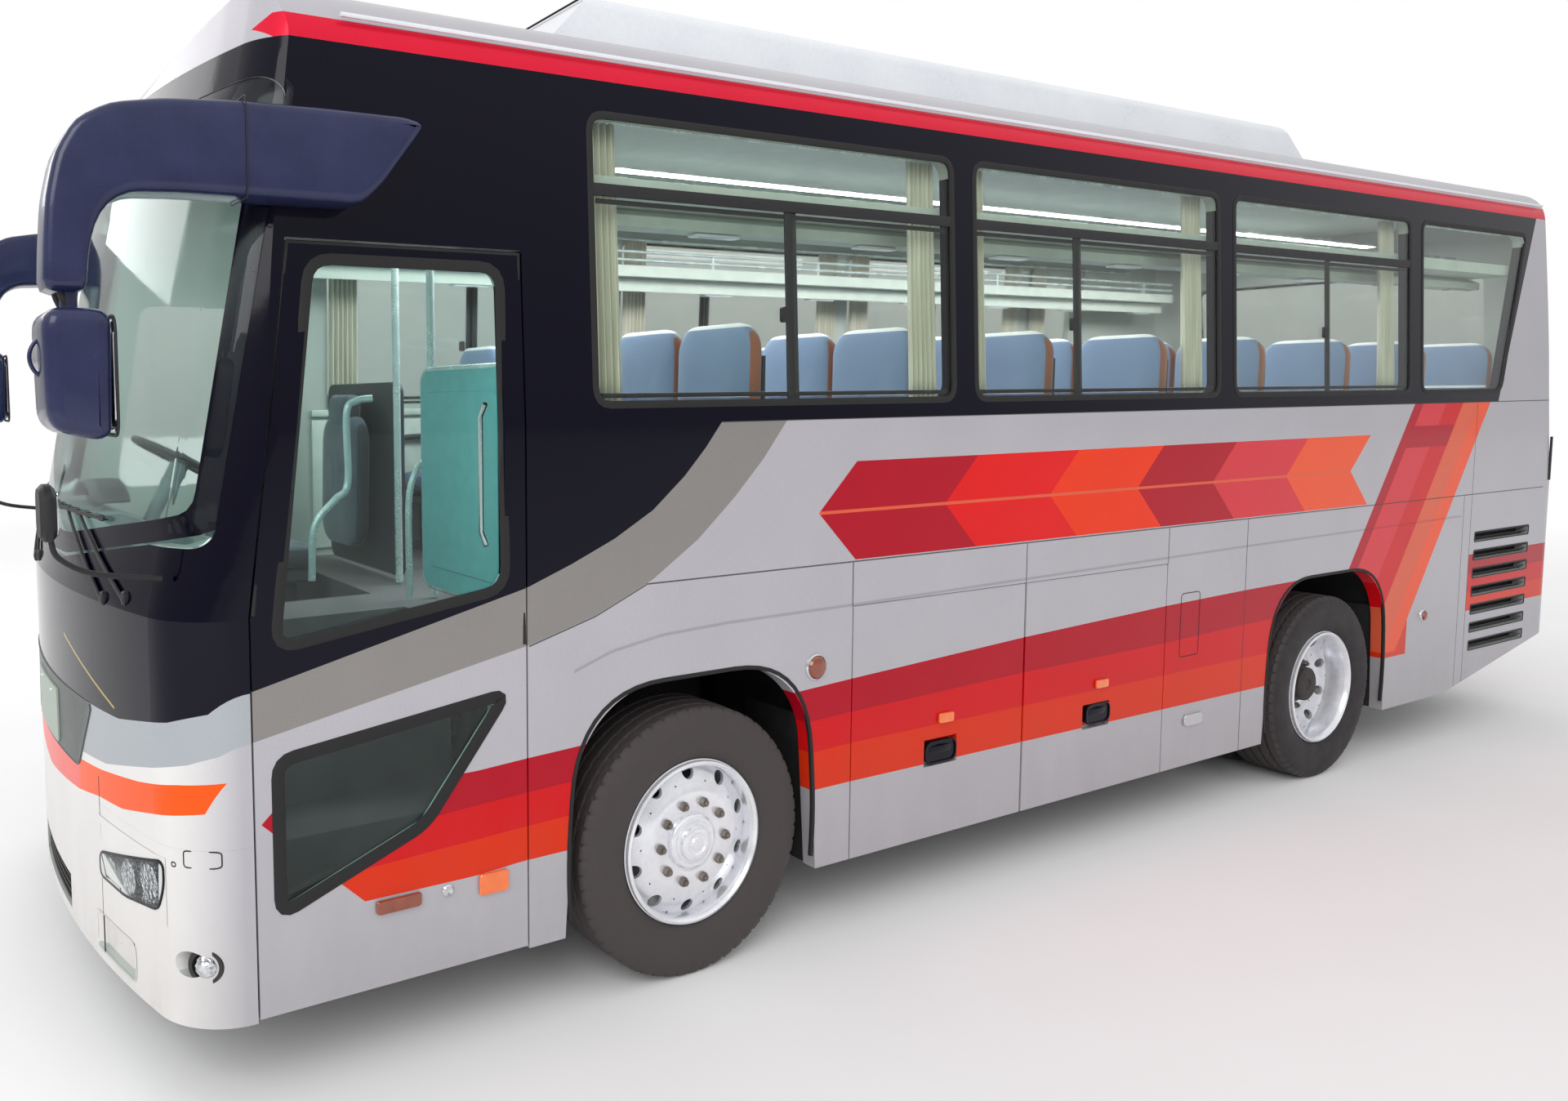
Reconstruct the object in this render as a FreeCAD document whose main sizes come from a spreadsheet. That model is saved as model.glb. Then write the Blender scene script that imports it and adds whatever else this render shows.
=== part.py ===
import FreeCAD, Part
import math
import os
import re
import Sketcher
from types import SimpleNamespace

Vector = FreeCAD.Vector
Rotation = FreeCAD.Rotation

# Coach bus, 9 m long, right-hand drive, entrance at the left front corner
# x runs to the coach's left, y to its rear, z up from the ground; the front faces -y

# Driving dimensions in millimetres, angles in degrees
SIZES = {
    # whole body
    "frontOverhangLength": 1980,
    "wheelBaseLength": 4200,
    "rearOverhangLength": 2810,
    "bodyWidth": 2490,
    "skirtHeight": 280,
    "tailSkirtHeight": 265,
    "tailSlopeLength": 1500,
    # heights stacked on the cabin floor
    "floorHeight": 1250,
    "beltHeight": 717,
    "sillHeight": 63,
    "windowHeight": 930,
    "headHeight": 107,
    "roofHeight": 263,
    "unitHeight": 150,
    # ends, sides and roof
    "sideLeanDepth": 50,
    "shoulderRadius": 200,
    "crownRadius": 6500,
    "noseRadius": 4000,
    "noseCornerRadius": 250,
    "tailRadius": 9000,
    "tailCornerRadius": 220,
    "screenLeanDepth": 320,
    "tailLeanDepth": 260,
    "domeRadius": 480,
    "tailDomeRadius": 330,
    "noseDepth": 380,
    "pillarLeanDepth": 140,
    "pillarHeadDepth": 140,
    "tailDepth": 330,
    # walls, leaves, panes and clearances
    "wallThickness": 60,
    "leafThickness": 42,
    "paneThickness": 8,
    "paneInset": 4,
    "skinGap": 0.3,
    "lidGap": 6,
    "overrunLength": 20,
    "hingeRadius": 12,
    # side windows
    "windowPostLength": 265,
    "windowPillarLength": 130,
    "windowCornerRadius": 70,
    "quarterLength": 960,
    "quarterSlantLength": 330,
    "tailPostLength": 330,
    "driverWindowInset": 100,
    # windscreen and rear window
    "screenSillHeight": 650,
    "screenFootHeight": 200,
    "screenEdgeInset": 85,
    "screenDipDepth": 110,
    "screenDipReach": 300,
    "rearWindowInset": 365,
    "rearWindowSillHeight": 30,
    "rearWindowHeadDepth": 140,
    # wheel arches
    "frontArchGap": 75,
    "rearArchGap": 125,
    "archShoulderLength": 60,
    "archClearance": 120,
    "archCornerRadius": 350,
    # entrance door
    "doorPillarLength": 135,
    "doorFootGap": 10,
    "doorTopDepth": 450,
    "doorSillHeight": 108,
    "doorSillSlantHeight": 107,
    "doorHeadDepth": 55,
    "doorFrontMargin": 75,
    "doorRearMargin": 80,
    "doorLowSillHeight": 305,
    "doorLowKneeHeight": 180,
    "doorLowHeadHeight": 545,
    "doorLowSlantHeight": 95,
    "doorLowKneeLength": 540,
    "doorLowCornerRadius": 35,
    "doorPostRadius": 20,
    "doorPostInset": 115,
    "doorPostLength": 105,
    "doorPostHeight": 940,
    "doorArmInset": 320,
    "doorArmBulgeDepth": 118,
    "doorArmRadius": 16,
    "doorArmLowHeight": 280,
    "doorArmHighHeight": 925,
    # luggage lids
    "lidInset": 25,
    "lidLength": 1005,
    "lidRimHeight": 12,
    "latchLength": 190,
    "latchHeight": 110,
    "latchDepth": 25,
    "latchFootHeight": 290,
    # engine lid and emergency door
    "engineLidInset": 425,
    "engineLidSillHeight": 95,
    "engineLidHeight": 920,
    "emergencyInset": 25,
    "emergencyLength": 620,
    "emergencyFootHeight": 50,
    "emergencyHeadDepth": 82,
    "emergencyMargin": 120,
    # bumper, lamps and vents
    "bumperHeight": 520,
    "intakeInset": 335,
    "intakeLength": 300,
    "intakeFootHeight": 35,
    "intakeHeight": 120,
    "headlampInset": 165,
    "headlampLength": 430,
    "headlampHeight": 190,
    "headlampHeadDepth": 45,
    "fogRadius": 38,
    "fogInset": 75,
    "fogHeight": 186,
    "tailLampInset": 150,
    "tailLampRadius": 58,
    "tailLampSpacing": 135,
    "tailLampFootHeight": 330,
    "ventInset": 170,
    "ventLength": 720,
    "ventHeight": 50,
    "ventSpacing": 108,
    "ventFootHeight": 222,
    # roof unit
    "unitInset": 1380,
    "unitLength": 5350,
    "unitWidth": 1800,
    "unitSlopeLength": 420,
    "unitSlopeWidth": 50,
    "unitEdgeRadius": 60,
    # mirrors
    "mirrorReach": 170,
    "mirrorLength": 960,
    "mirrorSlantLength": 170,
    "mirrorTopDepth": 217,
    "mirrorArmHeight": 260,
    "mirrorNeckLength": 50,
    "mirrorNeckDepth": 70,
    "mirrorNeckHeight": 245,
    "mirrorElbowLength": 60,
    "mirrorBendLength": 330,
    "mirrorBendDepth": 300,
    "mirrorCornerRadius": 45,
    "mirrorArmReach": 100,
    "mirrorHeadReach": 170,
    "mirrorHeadHeight": 390,
    "mirrorHeadWidth": 250,
    "mirrorHeadDepth": 130,
    "mirrorHeadRadius": 58,
    "mirrorHeadInset": 60,
    "mirrorHeadGap": 55,
    "mirrorHoopRadius": 60,
    "mirrorHoopReach": 40,
    "mirrorHoopDepth": 175,
    "hoopWireRadius": 6,
    "mirrorStemHeight": 75,
    # wipers
    "wiperPivotOffset": 760,
    "wiperPivotSpacing": 150,
    "wiperPivotDepth": 185,
    "wiperPivotRadius": 24,
    "wiperSpacing": 1100,
    "wiperArmLength": 460,
    "wiperArmWidth": 24,
    "wiperThickness": 16,
    "bladeLength": 800,
    "bladeWidth": 28,
    "bladeHeight": 50,
    # floor, steps and hold
    "floorThickness": 50,
    "cabFloorDepth": 250,
    "cabFloorReach": 45,
    "stepHeight": 80,
    "holdFloorHeight": 180,
    "holdPlateThickness": 20,
    "holdInset": 145,
    # chassis
    "railOffset": 430,
    "railWidth": 70,
    "railDepth": 140,
    "railHeight": 255,
    "rearRailHeight": 435,
    "railKickLength": 240,
    "memberLength": 45,
    "towLugWidth": 95,
    "towLugLength": 100,
    "towLugThickness": 30,
    "towBoreRadius": 25,
    # tyres and rims
    "tyreRadius": 485,
    "tyreWidth": 275,
    "rimRadius": 292,
    "rimWidth": 230,
    "rimThickness": 14,
    "rimWellDepth": 28,
    "rimWellWidth": 110,
    "beadGap": 0.3,
    "wheelInset": 145,
    "twinSpacing": 312,
    "discThickness": 16,
    "discRootLength": 35,
    "handHoleRadius": 26,
    "handHoleCircleRadius": 195,
    # axles and steering
    "kingpinReach": 220,
    "kingpinRadius": 22,
    "pinGap": 0.05,
    "hubRadius": 75,
    "hubFlangeRadius": 120,
    "hubCapThickness": 18,
    "spindleRadius": 32,
    "beamDepth": 110,
    "beamWidth": 110,
    "eyeRadius": 46,
    "eyeHeight": 150,
    "forkThickness": 26,
    "forkGap": 5,
    "axleRadius": 75,
    "axleEndRadius": 50,
    "driveCaseRadius": 190,
    # engine
    "engineLength": 1050,
    "engineHeight": 620,
    "engineFootHeight": 150,
    # seats and racks
    "seatFrontInset": 60,
    "seatTailGap": 100,
    "seatWidth": 900,
    "seatDepth": 460,
    "seatHeight": 430,
    "seatBackHeight": 1080,
    "seatThickness": 110,
    "seatWallGap": 20,
    "rackDepth": 240,
    "rackWidth": 330,
    "rackThickness": 60,
    # driver's place
    "driverOffset": 620,
    "driverSeatWidth": 480,
    "dashHeight": 420,
    "dashGap": 30,
    "dashDepth": 300,
    "dashSlopeHeight": 120,
    "binnacleDepth": 540,
    "binnacleWidth": 760,
    "steeringRadius": 225,
    "gripRadius": 14,
    "steeringHeight": 800,
    "steeringReach": 50,
    "columnRadius": 32,
    "bossRadius": 45,
    "columnAngle": 28,
    # numbers of like pieces
    "seatRowCount": 8,
    "handHoleCount": 10,
    "ventCount": 7,
    "tailLampCount": 3,
}

# Places worked out from the driving dimensions
PLACES = {
    "halfWidth": "bodyWidth / 2",
    "innerHalf": "halfWidth - wallThickness",
    "bodyLength": "frontOverhangLength + wheelBaseLength + rearOverhangLength",
    "noseY": "(mirrorReach - bodyLength) / 2",
    "tailY": "noseY + bodyLength",
    "frontAxle": "noseY + frontOverhangLength",
    "rearAxle": "frontAxle + wheelBaseLength",
    "noseSplit": "noseY + noseDepth",
    "tailSplit": "tailY - tailDepth",
    "tailSkirt": "skirtHeight + tailSkirtHeight",
    "beltLine": "floorHeight + beltHeight",
    "windowSill": "beltLine + sillHeight",
    "windowHead": "windowSill + windowHeight",
    "roofLine": "windowHead + headHeight",
    "crownLine": "roofLine + roofHeight",
    "unitTop": "crownLine + unitHeight",
    "cabFloor": "floorHeight - cabFloorDepth",
    "screenSill": "cabFloor + screenSillHeight",
    "leanStart": "screenSill - screenFootHeight",
    "frontArchHalf": "tyreRadius + frontArchGap",
    "rearArchHalf": "tyreRadius + rearArchGap",
    "archTop": "2 * tyreRadius + archClearance",
    "doorEnd": "frontAxle - frontArchHalf - doorPillarLength",
    "doorFoot": "skirtHeight + doorFootGap",
    "doorTop": "windowHead - doorTopDepth",
    "doorSill": "floorHeight + doorSillHeight",
    "postX": "halfWidth - doorPostInset",
    "postY": "noseSplit + doorPostLength",
    "armEnd": "doorEnd - doorArmInset",
    "windowStart": "doorEnd + windowPostLength",
    "quarterStart": "tailSplit - tailPostLength - quarterSlantLength - quarterLength",
    "windowPitch": "(quarterStart - windowStart) / 3",
    "emergencyStart": "quarterStart + emergencyInset",
    "emergencyFoot": "floorHeight + emergencyFootHeight",
    "emergencyHead": "roofLine - emergencyHeadDepth",
    "holdStart": "frontAxle + frontArchHalf + holdInset",
    "lidStart": "holdStart + lidInset",
    "holdEnd": "lidStart + 2 * lidLength",
    "holdFloor": "skirtHeight + holdFloorHeight",
    "lidTop": "floorHeight + lidRimHeight",
    "bumperTop": "skirtHeight + bumperHeight",
    "headlampTop": "bumperTop - headlampHeadDepth",
    "engineLidFoot": "tailSkirt + engineLidSillHeight",
    "engineLidTop": "engineLidFoot + engineLidHeight",
    "mirrorTop": "roofLine - mirrorTopDepth",
    "mirrorRoot": "mirrorTop - mirrorArmHeight",
    "mirrorNeck": "mirrorRoot - mirrorNeckHeight",
    "mirrorFront": "noseY - mirrorReach + mirrorNeckLength",
    "riserY": "doorEnd - lidGap",
    "stepFoot": "skirtHeight + stepHeight",
    "stepDepth": "(innerHalf - cabFloorReach) / 4",
    "stepRise": "(floorHeight - stepFoot) / 3",
    "frontRail": "tyreRadius + railHeight",
    "rearRail": "tyreRadius + rearRailHeight",
    "holdRail": "holdFloor - skinGap",
    "chassisFront": "noseSplit - wallThickness",
    "chassisBack": "tailSplit - skinGap",
    "rearMember": "chassisBack - towLugLength - memberLength - skinGap",
    "engineBack": "rearMember - overrunLength",
    "trackHalf": "halfWidth - wheelInset",
    "twinInner": "trackHalf - twinSpacing",
    "twinDisc": "(trackHalf + twinInner) / 2",
    "kingpinX": "trackHalf - kingpinReach",
    "forkWeb": "kingpinX + eyeRadius + forkGap",
    "frontDisc": "trackHalf + rimWidth / 2 - discThickness",
    "hubFace": "trackHalf + tyreWidth / 2 - discThickness",
    "seatFront": "frontAxle - seatFrontInset",
    "seatPitch": "(tailSplit - seatTailGap - seatFront) / seatRowCount",
    "rackFoot": "windowHead - rackDepth",
    "dashTop": "screenSill - dashGap",
    "dashFoot": "dashTop - dashHeight",
    "binnacleBack": "noseY + wallThickness + binnacleDepth",
    "steeringY": "binnacleBack + steeringReach",
    "steeringZ": "cabFloor + steeringHeight",
    "columnLength": "(steeringZ - dashTop + 3 * columnRadius) / cos(columnAngle)",
    "columnReach": "columnLength + gripRadius + skinGap",
}

# Shares: outline points as parts of the sizes that they follow
tyreSideShares = [(0.78, 0), (0.93, 0.16), (1.0, 0.45), (0.96, 0.78), (0.82, 0.97)]
treadShare = 0.6
mirrorBendShares = [(0, 1), (0.1, 0.55), (0.36, 0.22), (1, 0)]
headlampShares = [(0, 1), (1, 0.95), (0.98, 0), (0.6, 0), (0.04, 0.5)]

doc = FreeCAD.newDocument("Coach")
pieces = []


def makeSheet(name, cells):
    sheet = doc.addObject("Spreadsheet::Sheet", name)
    for row, (alias, content) in enumerate(cells.items(), 1):
        sheet.set(f"A{row}", alias)
        sheet.set(f"B{row}", content)
        sheet.setAlias(f"B{row}", alias)
    doc.recompute()
    return {alias: float(sheet.get(alias)) for alias in cells}


def qualify(formula, own=""):
    """Puts the sheet's name before each alias in a formula."""
    def owner(match):
        word = match.group(0)
        if word in SIZES:
            return "Sizes." + word
        if word in PLACES:
            return own + word
        return word
    return re.sub(r"[A-Za-z]\w*", owner, formula)


values = makeSheet("Sizes", {alias: str(size) for alias, size in SIZES.items()})
values.update(makeSheet("Places", {alias: "=" + qualify(formula) for alias, formula in PLACES.items()}))
s = SimpleNamespace(**values)


# Small makers of document objects

def bind(item, **formulas):
    for prop, formula in formulas.items():
        item.setExpression(prop.replace("_", "."), qualify(formula, "Places."))


def block(name, xs, ys, zs):
    """A box between two formulas along each axis."""
    item = doc.addObject("Part::Box", name)
    bind(item, Length=f"({xs[1]}) - ({xs[0]})", Width=f"({ys[1]}) - ({ys[0]})",
         Height=f"({zs[1]}) - ({zs[0]})",
         Placement_Base_x=xs[0], Placement_Base_y=ys[0], Placement_Base_z=zs[0])
    return item


TURNS = {"x": Rotation(Vector(0, 0, 1), Vector(1, 0, 0)), "y": Rotation(Vector(0, 0, 1), Vector(0, 1, 0)),
         "z": Rotation()}


def rod(name, axis, start, radius, length):
    """A cylinder that starts at a point of formulas and runs along an axis."""
    item = doc.addObject("Part::Cylinder", name)
    item.Placement = FreeCAD.Placement(Vector(), TURNS[axis])
    bind(item, Radius=radius, Height=length,
         Placement_Base_x=start[0], Placement_Base_y=start[1], Placement_Base_z=start[2])
    return item


def drawOutline(sketch, points):
    """A closed outline of lines whose corners are held at points of formulas."""
    count = len(points)
    turn = 2 * math.pi / count
    spots = [Vector(math.cos(turn * i), math.sin(turn * i), 0) for i in range(count)]
    sketch.addGeometry([Part.LineSegment(spots[i], spots[(i + 1) % count]) for i in range(count)], False)
    constraints = [Sketcher.Constraint("Coincident", i, 2, (i + 1) % count, 1) for i in range(count)]
    for i, spot in enumerate(spots):
        constraints.append(Sketcher.Constraint("DistanceX", -1, 1, i, 1, spot.x))
        constraints.append(Sketcher.Constraint("DistanceY", -1, 1, i, 1, spot.y))
    sketch.addConstraint(constraints)
    for i, (across, up) in enumerate(points):
        sketch.setExpression(f"Constraints[{count + 2 * i}]", qualify(across, "Places."))
        sketch.setExpression(f"Constraints[{count + 2 * i + 1}]", qualify(up, "Places."))


PLANES = {"yz": Rotation(0.5, 0.5, 0.5, 0.5), "xz": Rotation(Vector(1, 0, 0), 90), "xy": Rotation()}
PLANE_NORMALS = {"yz": "x", "xz": "y", "xy": "z"}


def prism(name, plane, points, start, end):
    """A closed outline in a plane, run from start to end along the plane's normal."""
    outline = doc.addObject("Sketcher::SketchObject", name + "Outline")
    outline.Placement = FreeCAD.Placement(Vector(), PLANES[plane])
    drawOutline(outline, points)
    bind(outline, **{"Placement_Base_" + PLANE_NORMALS[plane]: start})
    item = doc.addObject("Part::Extrusion", name)
    item.Base = outline
    item.DirMode = "Normal"
    item.Solid = True
    item.Reversed = plane == "xz"
    bind(item, LengthFwd=f"({end}) - ({start})")
    return item


def cut(name, base, *tools):
    item = doc.addObject("Part::Cut", name)
    item.Base = base
    item.Tool = tools[0] if len(tools) == 1 else fuse(name + "Tools", *tools)
    return item


def fuse(name, *shapes):
    item = doc.addObject("Part::MultiFuse", name)
    item.Shapes = list(shapes)
    return item


def common(name, *shapes):
    item = doc.addObject("Part::MultiCommon", name)
    item.Shapes = list(shapes)
    return item


def gather(name, *shapes):
    """Like pieces that don't touch, kept as one sub-part."""
    item = doc.addObject("Part::Compound", name)
    item.Links = list(shapes)
    return item


def formed(name, shape):
    """A piece whose form is worked out in code."""
    item = doc.addObject("Part::Feature", name)
    item.Shape = shape
    return item


ALONG_X = Vector(1, 0, 0)
ALONG_Y = Vector(0, 1, 0)
ALONG_Z = Vector(0, 0, 1)
PARALLEL_ANGLE = math.radians(1)


def rounded(name, base, radius, *axes, where=None):
    """The base with its straight edges along the axes rounded, all of them or those at some places."""
    doc.recompute()
    edges = []
    for number, edge in enumerate(base.Shape.Edges, 1):
        if edge.Curve.TypeId != "Part::GeomLine":
            continue
        along = edge.tangentAt(edge.FirstParameter)
        if any(along.isParallel(axis, PARALLEL_ANGLE) for axis in axes):
            if where is None or where(edge.CenterOfMass):
                edges.append((number, radius, radius))
    item = doc.addObject("Part::Fillet", name)
    item.Base = base
    item.Edges = edges
    return item


def mirrored(name, base):
    item = doc.addObject("Part::Mirroring", name)
    item.Source = base
    item.Normal = ALONG_X
    return item


def keep(label, item):
    item.Label = label
    pieces.append(item)
    return item


# The body's outer form: a plan outline with curved ends, a leaning nose and tail,
# sides that lean in above the belt, and a crowned roof

def flip(point):
    return Vector(-point.x, point.y, point.z)


def planFace(inset, height):
    """Plan outline: each end is a shallow arc that meets the sides in a corner arc."""
    half = s.halfWidth - inset

    def endArcs(tip, facing, endRadius, cornerRadius):
        big = endRadius - inset
        small = cornerRadius - inset
        centreY = tip - facing * (inset + big)
        cornerX = half - small
        reach = math.sqrt((big - small) ** 2 - cornerX ** 2)
        cornerY = centreY + facing * reach
        touchX = cornerX * big / (big - small)
        touchY = centreY + facing * reach * big / (big - small)
        bend = math.atan2(facing * reach, cornerX) / 2
        middle = Vector(cornerX + small * math.cos(bend), cornerY + small * math.sin(bend), height)
        return (Vector(half, cornerY, height), middle, Vector(touchX, touchY, height),
                Vector(0, tip - facing * inset, height))

    side, bend, touch, tip = endArcs(s.tailY, 1, s.tailRadius, s.tailCornerRadius)
    sideN, bendN, touchN, tipN = endArcs(s.noseY, -1, s.noseRadius, s.noseCornerRadius)
    edges = [
        Part.LineSegment(sideN, side),
        Part.Arc(side, bend, touch),
        Part.Arc(touch, tip, flip(touch)),
        Part.Arc(flip(touch), flip(bend), flip(side)),
        Part.LineSegment(flip(side), flip(sideN)),
        Part.Arc(flip(sideN), flip(bendN), flip(touchN)),
        Part.Arc(flip(touchN), tipN, touchN),
        Part.Arc(touchN, bendN, sideN),
    ]
    return Part.Face(Part.Wire([edge.toShape() for edge in edges]))


def sectionFace(inset, bottom, place):
    """Cross-section: upright below the belt, leaning in above it, shoulder and crown arcs on top."""
    half = s.halfWidth - inset
    slope = s.sideLeanDepth / (s.roofLine - s.beltLine)
    lean = math.hypot(1, slope)
    small = s.shoulderRadius - inset
    big = s.crownRadius - inset
    crown = s.crownLine - inset
    centreZ = crown - big
    shoulderZ = crown - small
    # the shoulder's centre lies one radius inside the side's line and inside the crown's arc
    for _ in range(20):
        shoulderX = half - slope * (shoulderZ - s.beltLine) - small * lean
        shoulderZ = centreZ + math.sqrt((big - small) ** 2 - shoulderX ** 2)
    outward = Vector(shoulderX, 0, shoulderZ - centreZ).normalize()
    middle = (math.atan2(slope, 1) + math.atan2(outward.z, outward.x)) / 2
    touch = Vector(outward.x * big, place, centreZ + outward.z * big)
    bend = Vector(shoulderX + small * math.cos(middle), place, shoulderZ + small * math.sin(middle))
    low = Vector(half, place, bottom)
    belt = Vector(half, place, s.beltLine)
    side = Vector(shoulderX + small / lean, place, shoulderZ + small * slope / lean)
    edges = [
        Part.LineSegment(low, belt),
        Part.LineSegment(belt, side),
        Part.Arc(side, bend, touch),
        Part.Arc(touch, Vector(0, place, crown), flip(touch)),
        Part.Arc(flip(touch), flip(bend), flip(side)),
        Part.LineSegment(flip(side), flip(belt)),
        Part.LineSegment(flip(belt), flip(low)),
        Part.LineSegment(flip(low), low),
    ]
    return Part.Face(Part.Wire([edge.toShape() for edge in edges]))


def profileFace(inset, bottom, tailBottom, side):
    """Side outline, outside the ends but for the rounds over which they turn into the roof."""
    top = s.crownLine - inset

    def overRound(tip, facing, shift, radius):
        """Start, middle and end of the round, which crosses the leaning end and the crown."""
        slope = shift / (s.roofLine - s.leanStart)
        lean = math.hypot(1, slope)
        centreZ = top - radius
        centreY = tip - facing * (slope * (centreZ - s.leanStart) + radius * lean)
        angle = math.atan2(slope, 1)
        halfWay = (angle + math.pi / 2) / 2
        return (Vector(side, centreY + facing * (radius * math.cos(angle) + s.overrunLength),
                       centreZ + radius * math.sin(angle)),
                Vector(side, centreY + facing * radius * math.cos(halfWay),
                       centreZ + radius * math.sin(halfWay)),
                Vector(side, centreY, top + s.overrunLength))

    nose = s.noseY + inset
    tail = s.tailY - inset
    noseEnd, noseMiddle, roofStart = overRound(nose, -1, s.screenLeanDepth, s.domeRadius - inset)
    tailEnd, tailMiddle, roofEnd = overRound(tail, 1, s.tailLeanDepth, s.tailDomeRadius - inset)
    front = nose - s.overrunLength
    back = tail + s.overrunLength
    rise = Vector(side, s.tailY - s.tailSlopeLength, bottom)
    edges = [
        Part.LineSegment(Vector(side, front, bottom), Vector(side, front, noseEnd.z)),
        Part.LineSegment(Vector(side, front, noseEnd.z), noseEnd),
        Part.Arc(noseEnd, noseMiddle, roofStart),
        Part.LineSegment(roofStart, roofEnd),
        Part.Arc(roofEnd, tailMiddle, tailEnd),
        Part.LineSegment(tailEnd, Vector(side, back, tailEnd.z)),
        Part.LineSegment(Vector(side, back, tailEnd.z), Vector(side, back, tailBottom)),
        Part.LineSegment(Vector(side, back, tailBottom), rise),
        Part.LineSegment(rise, Vector(side, front, bottom)),
    ]
    return Part.Face(Part.Wire([edge.toShape() for edge in edges]))


def hull(inset, cutLow=0):
    """The solid inside the skin that lies the inset below the outer surface, open below by the cut."""
    bottom = s.skirtHeight - cutLow
    tailBottom = s.tailSkirt - cutLow
    rise = s.crownLine - s.leanStart
    low = planFace(inset, bottom).extrude(Vector(0, 0, s.leanStart - bottom))
    noseShift = s.screenLeanDepth / (s.roofLine - s.leanStart) * rise
    tailShift = s.tailLeanDepth / (s.roofLine - s.leanStart) * rise
    leaningNose = planFace(inset, s.leanStart).extrude(Vector(0, noseShift, rise))
    leaningTail = planFace(inset, s.leanStart).extrude(Vector(0, -tailShift, rise))
    form = low.fuse(leaningNose.common(leaningTail))
    section = sectionFace(inset, bottom - s.overrunLength, s.noseY - s.overrunLength).extrude(
        Vector(0, s.bodyLength + 2 * s.overrunLength, 0))
    profile = profileFace(inset, bottom, tailBottom, -s.halfWidth - s.overrunLength).extrude(
        Vector(s.bodyWidth + 2 * s.overrunLength, 0, 0))
    return form.common(section).common(profile).removeSplitter()


outerForm = hull(0)
paneForm = hull(s.paneInset)
bodySkin = formed("bodySkin", outerForm.cut(hull(s.wallThickness, s.overrunLength)))
leafSkin = formed("leafSkin", outerForm.cut(hull(s.leafThickness, s.overrunLength)))
paneSkin = formed("paneSkin", paneForm.cut(hull(s.paneInset + s.paneThickness, s.overrunLength)))
wiperSkin = formed("wiperSkin", hull(-s.wiperThickness).cut(outerForm))
cabinForm = formed("cabinForm", hull(s.wallThickness + s.skinGap))
outerBody = formed("outerBody", outerForm)

ALL_X = ("-halfWidth - overrunLength", "halfWidth + overrunLength")
LEFT = ("0", "halfWidth + overrunLength")
RIGHT = ("-halfWidth - overrunLength", "0")
INSIDE_X = ("-innerHalf", "innerHalf")
NOSE_Y = ("noseY - overrunLength", "noseSplit")
TAIL_Y = ("tailSplit", "tailY + overrunLength")
BELOW = "skirtHeight - 2 * overrunLength"
ABOVE = "unitTop + overrunLength"
WALL_Z = (BELOW, "roofLine - skinGap")


def spans(inner, outer, left):
    """The same stretch of x on the left side or, turned round, on the right."""
    return (inner, outer) if left else (f"-({outer})", f"-({inner})")


def noseForm(name, gap, top):
    """All that lies ahead of the front pillars' rear edge, upright to the screen's foot, leaning above it."""
    return prism(name, "yz", [
        ("noseY - wallThickness", BELOW),
        (f"noseSplit + {gap}", BELOW),
        (f"noseSplit + {gap}", "leanStart"),
        (f"noseSplit + pillarLeanDepth + {gap}", "doorTop"),
        (f"noseSplit + pillarLeanDepth + pillarHeadDepth + {gap}", top),
        ("noseY - wallThickness", top),
    ], *ALL_X)


def opening(name, xs, ys, zs, corner, axis=ALONG_X):
    return rounded(name, block(name + "Block", xs, ys, zs), corner, axis)


def sideOpening(name, xs, points, corner):
    """A rounded outline on the sides; every outline here has a first and a last edge along y."""
    prismItem = prism(name + "Prism", "yz", points, *xs)
    return rounded(name, prismItem, corner, ALONG_X)


# Side walls with their windows, arches, lid openings and vents

def windowTools(side, xs, gap):
    """The window prisms of one side; the gap is what a pane lacks all round."""
    tools = []
    for number in range(3):
        front = f"windowStart + {number} * windowPitch + {gap}"
        back = f"windowStart + {number + 1} * windowPitch - windowPillarLength - {gap}"
        tools.append(opening(f"{side}Window{number + 1}", xs, (front, back),
                             (f"windowSill + {gap}", f"windowHead - {gap}"), s.windowCornerRadius))
    if xs is LEFT:
        back = "quarterStart + quarterLength"
        tools.append(sideOpening(f"{side}Quarter", xs, [
            (f"quarterStart + {gap}", f"windowSill + {gap}"),
            (f"{back} - {gap}", f"windowSill + {gap}"),
            (f"{back} + quarterSlantLength - {gap}", f"windowHead - {gap}"),
            (f"quarterStart + {gap}", f"windowHead - {gap}"),
        ], s.windowCornerRadius))
    else:
        front = "noseSplit + driverWindowInset"
        tools.append(sideOpening(f"{side}DriverWindow", xs, [
            (f"{front} + {gap}", f"screenSill + {gap}"),
            (f"doorEnd - {gap}", f"screenSill + {gap}"),
            (f"doorEnd - {gap}", f"doorTop - {gap}"),
            (f"{front} + pillarLeanDepth + {gap}", f"doorTop - {gap}"),
        ], s.windowCornerRadius))
    return tools


def archTool(name, xs, axle, half):
    """A wheel arch, open at its foot, so only its two upper corners are rounded."""
    outline = prism(name + "Prism", "yz", [
        (f"{axle} - {half}", BELOW),
        (f"{axle} + {half}", BELOW),
        (f"{axle} + {half} - archShoulderLength", "archTop"),
        (f"{axle} - {half} + archShoulderLength", "archTop"),
    ], *xs)
    return rounded(name, outline, s.archCornerRadius, ALONG_X, where=lambda middle: middle.z > s.tyreRadius)


def entrancePrism(name, gap, top):
    """The entrance, whose front edge follows the pillar; the gap is what the leaf lacks."""
    return prism(name, "yz", [
        (f"noseSplit + {gap}", BELOW),
        (f"doorEnd - ({gap})", BELOW),
        (f"doorEnd - ({gap})", top),
        (f"noseSplit + pillarLeanDepth + {gap}", top),
        (f"noseSplit + {gap}", "leanStart"),
    ], *LEFT)


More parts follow.
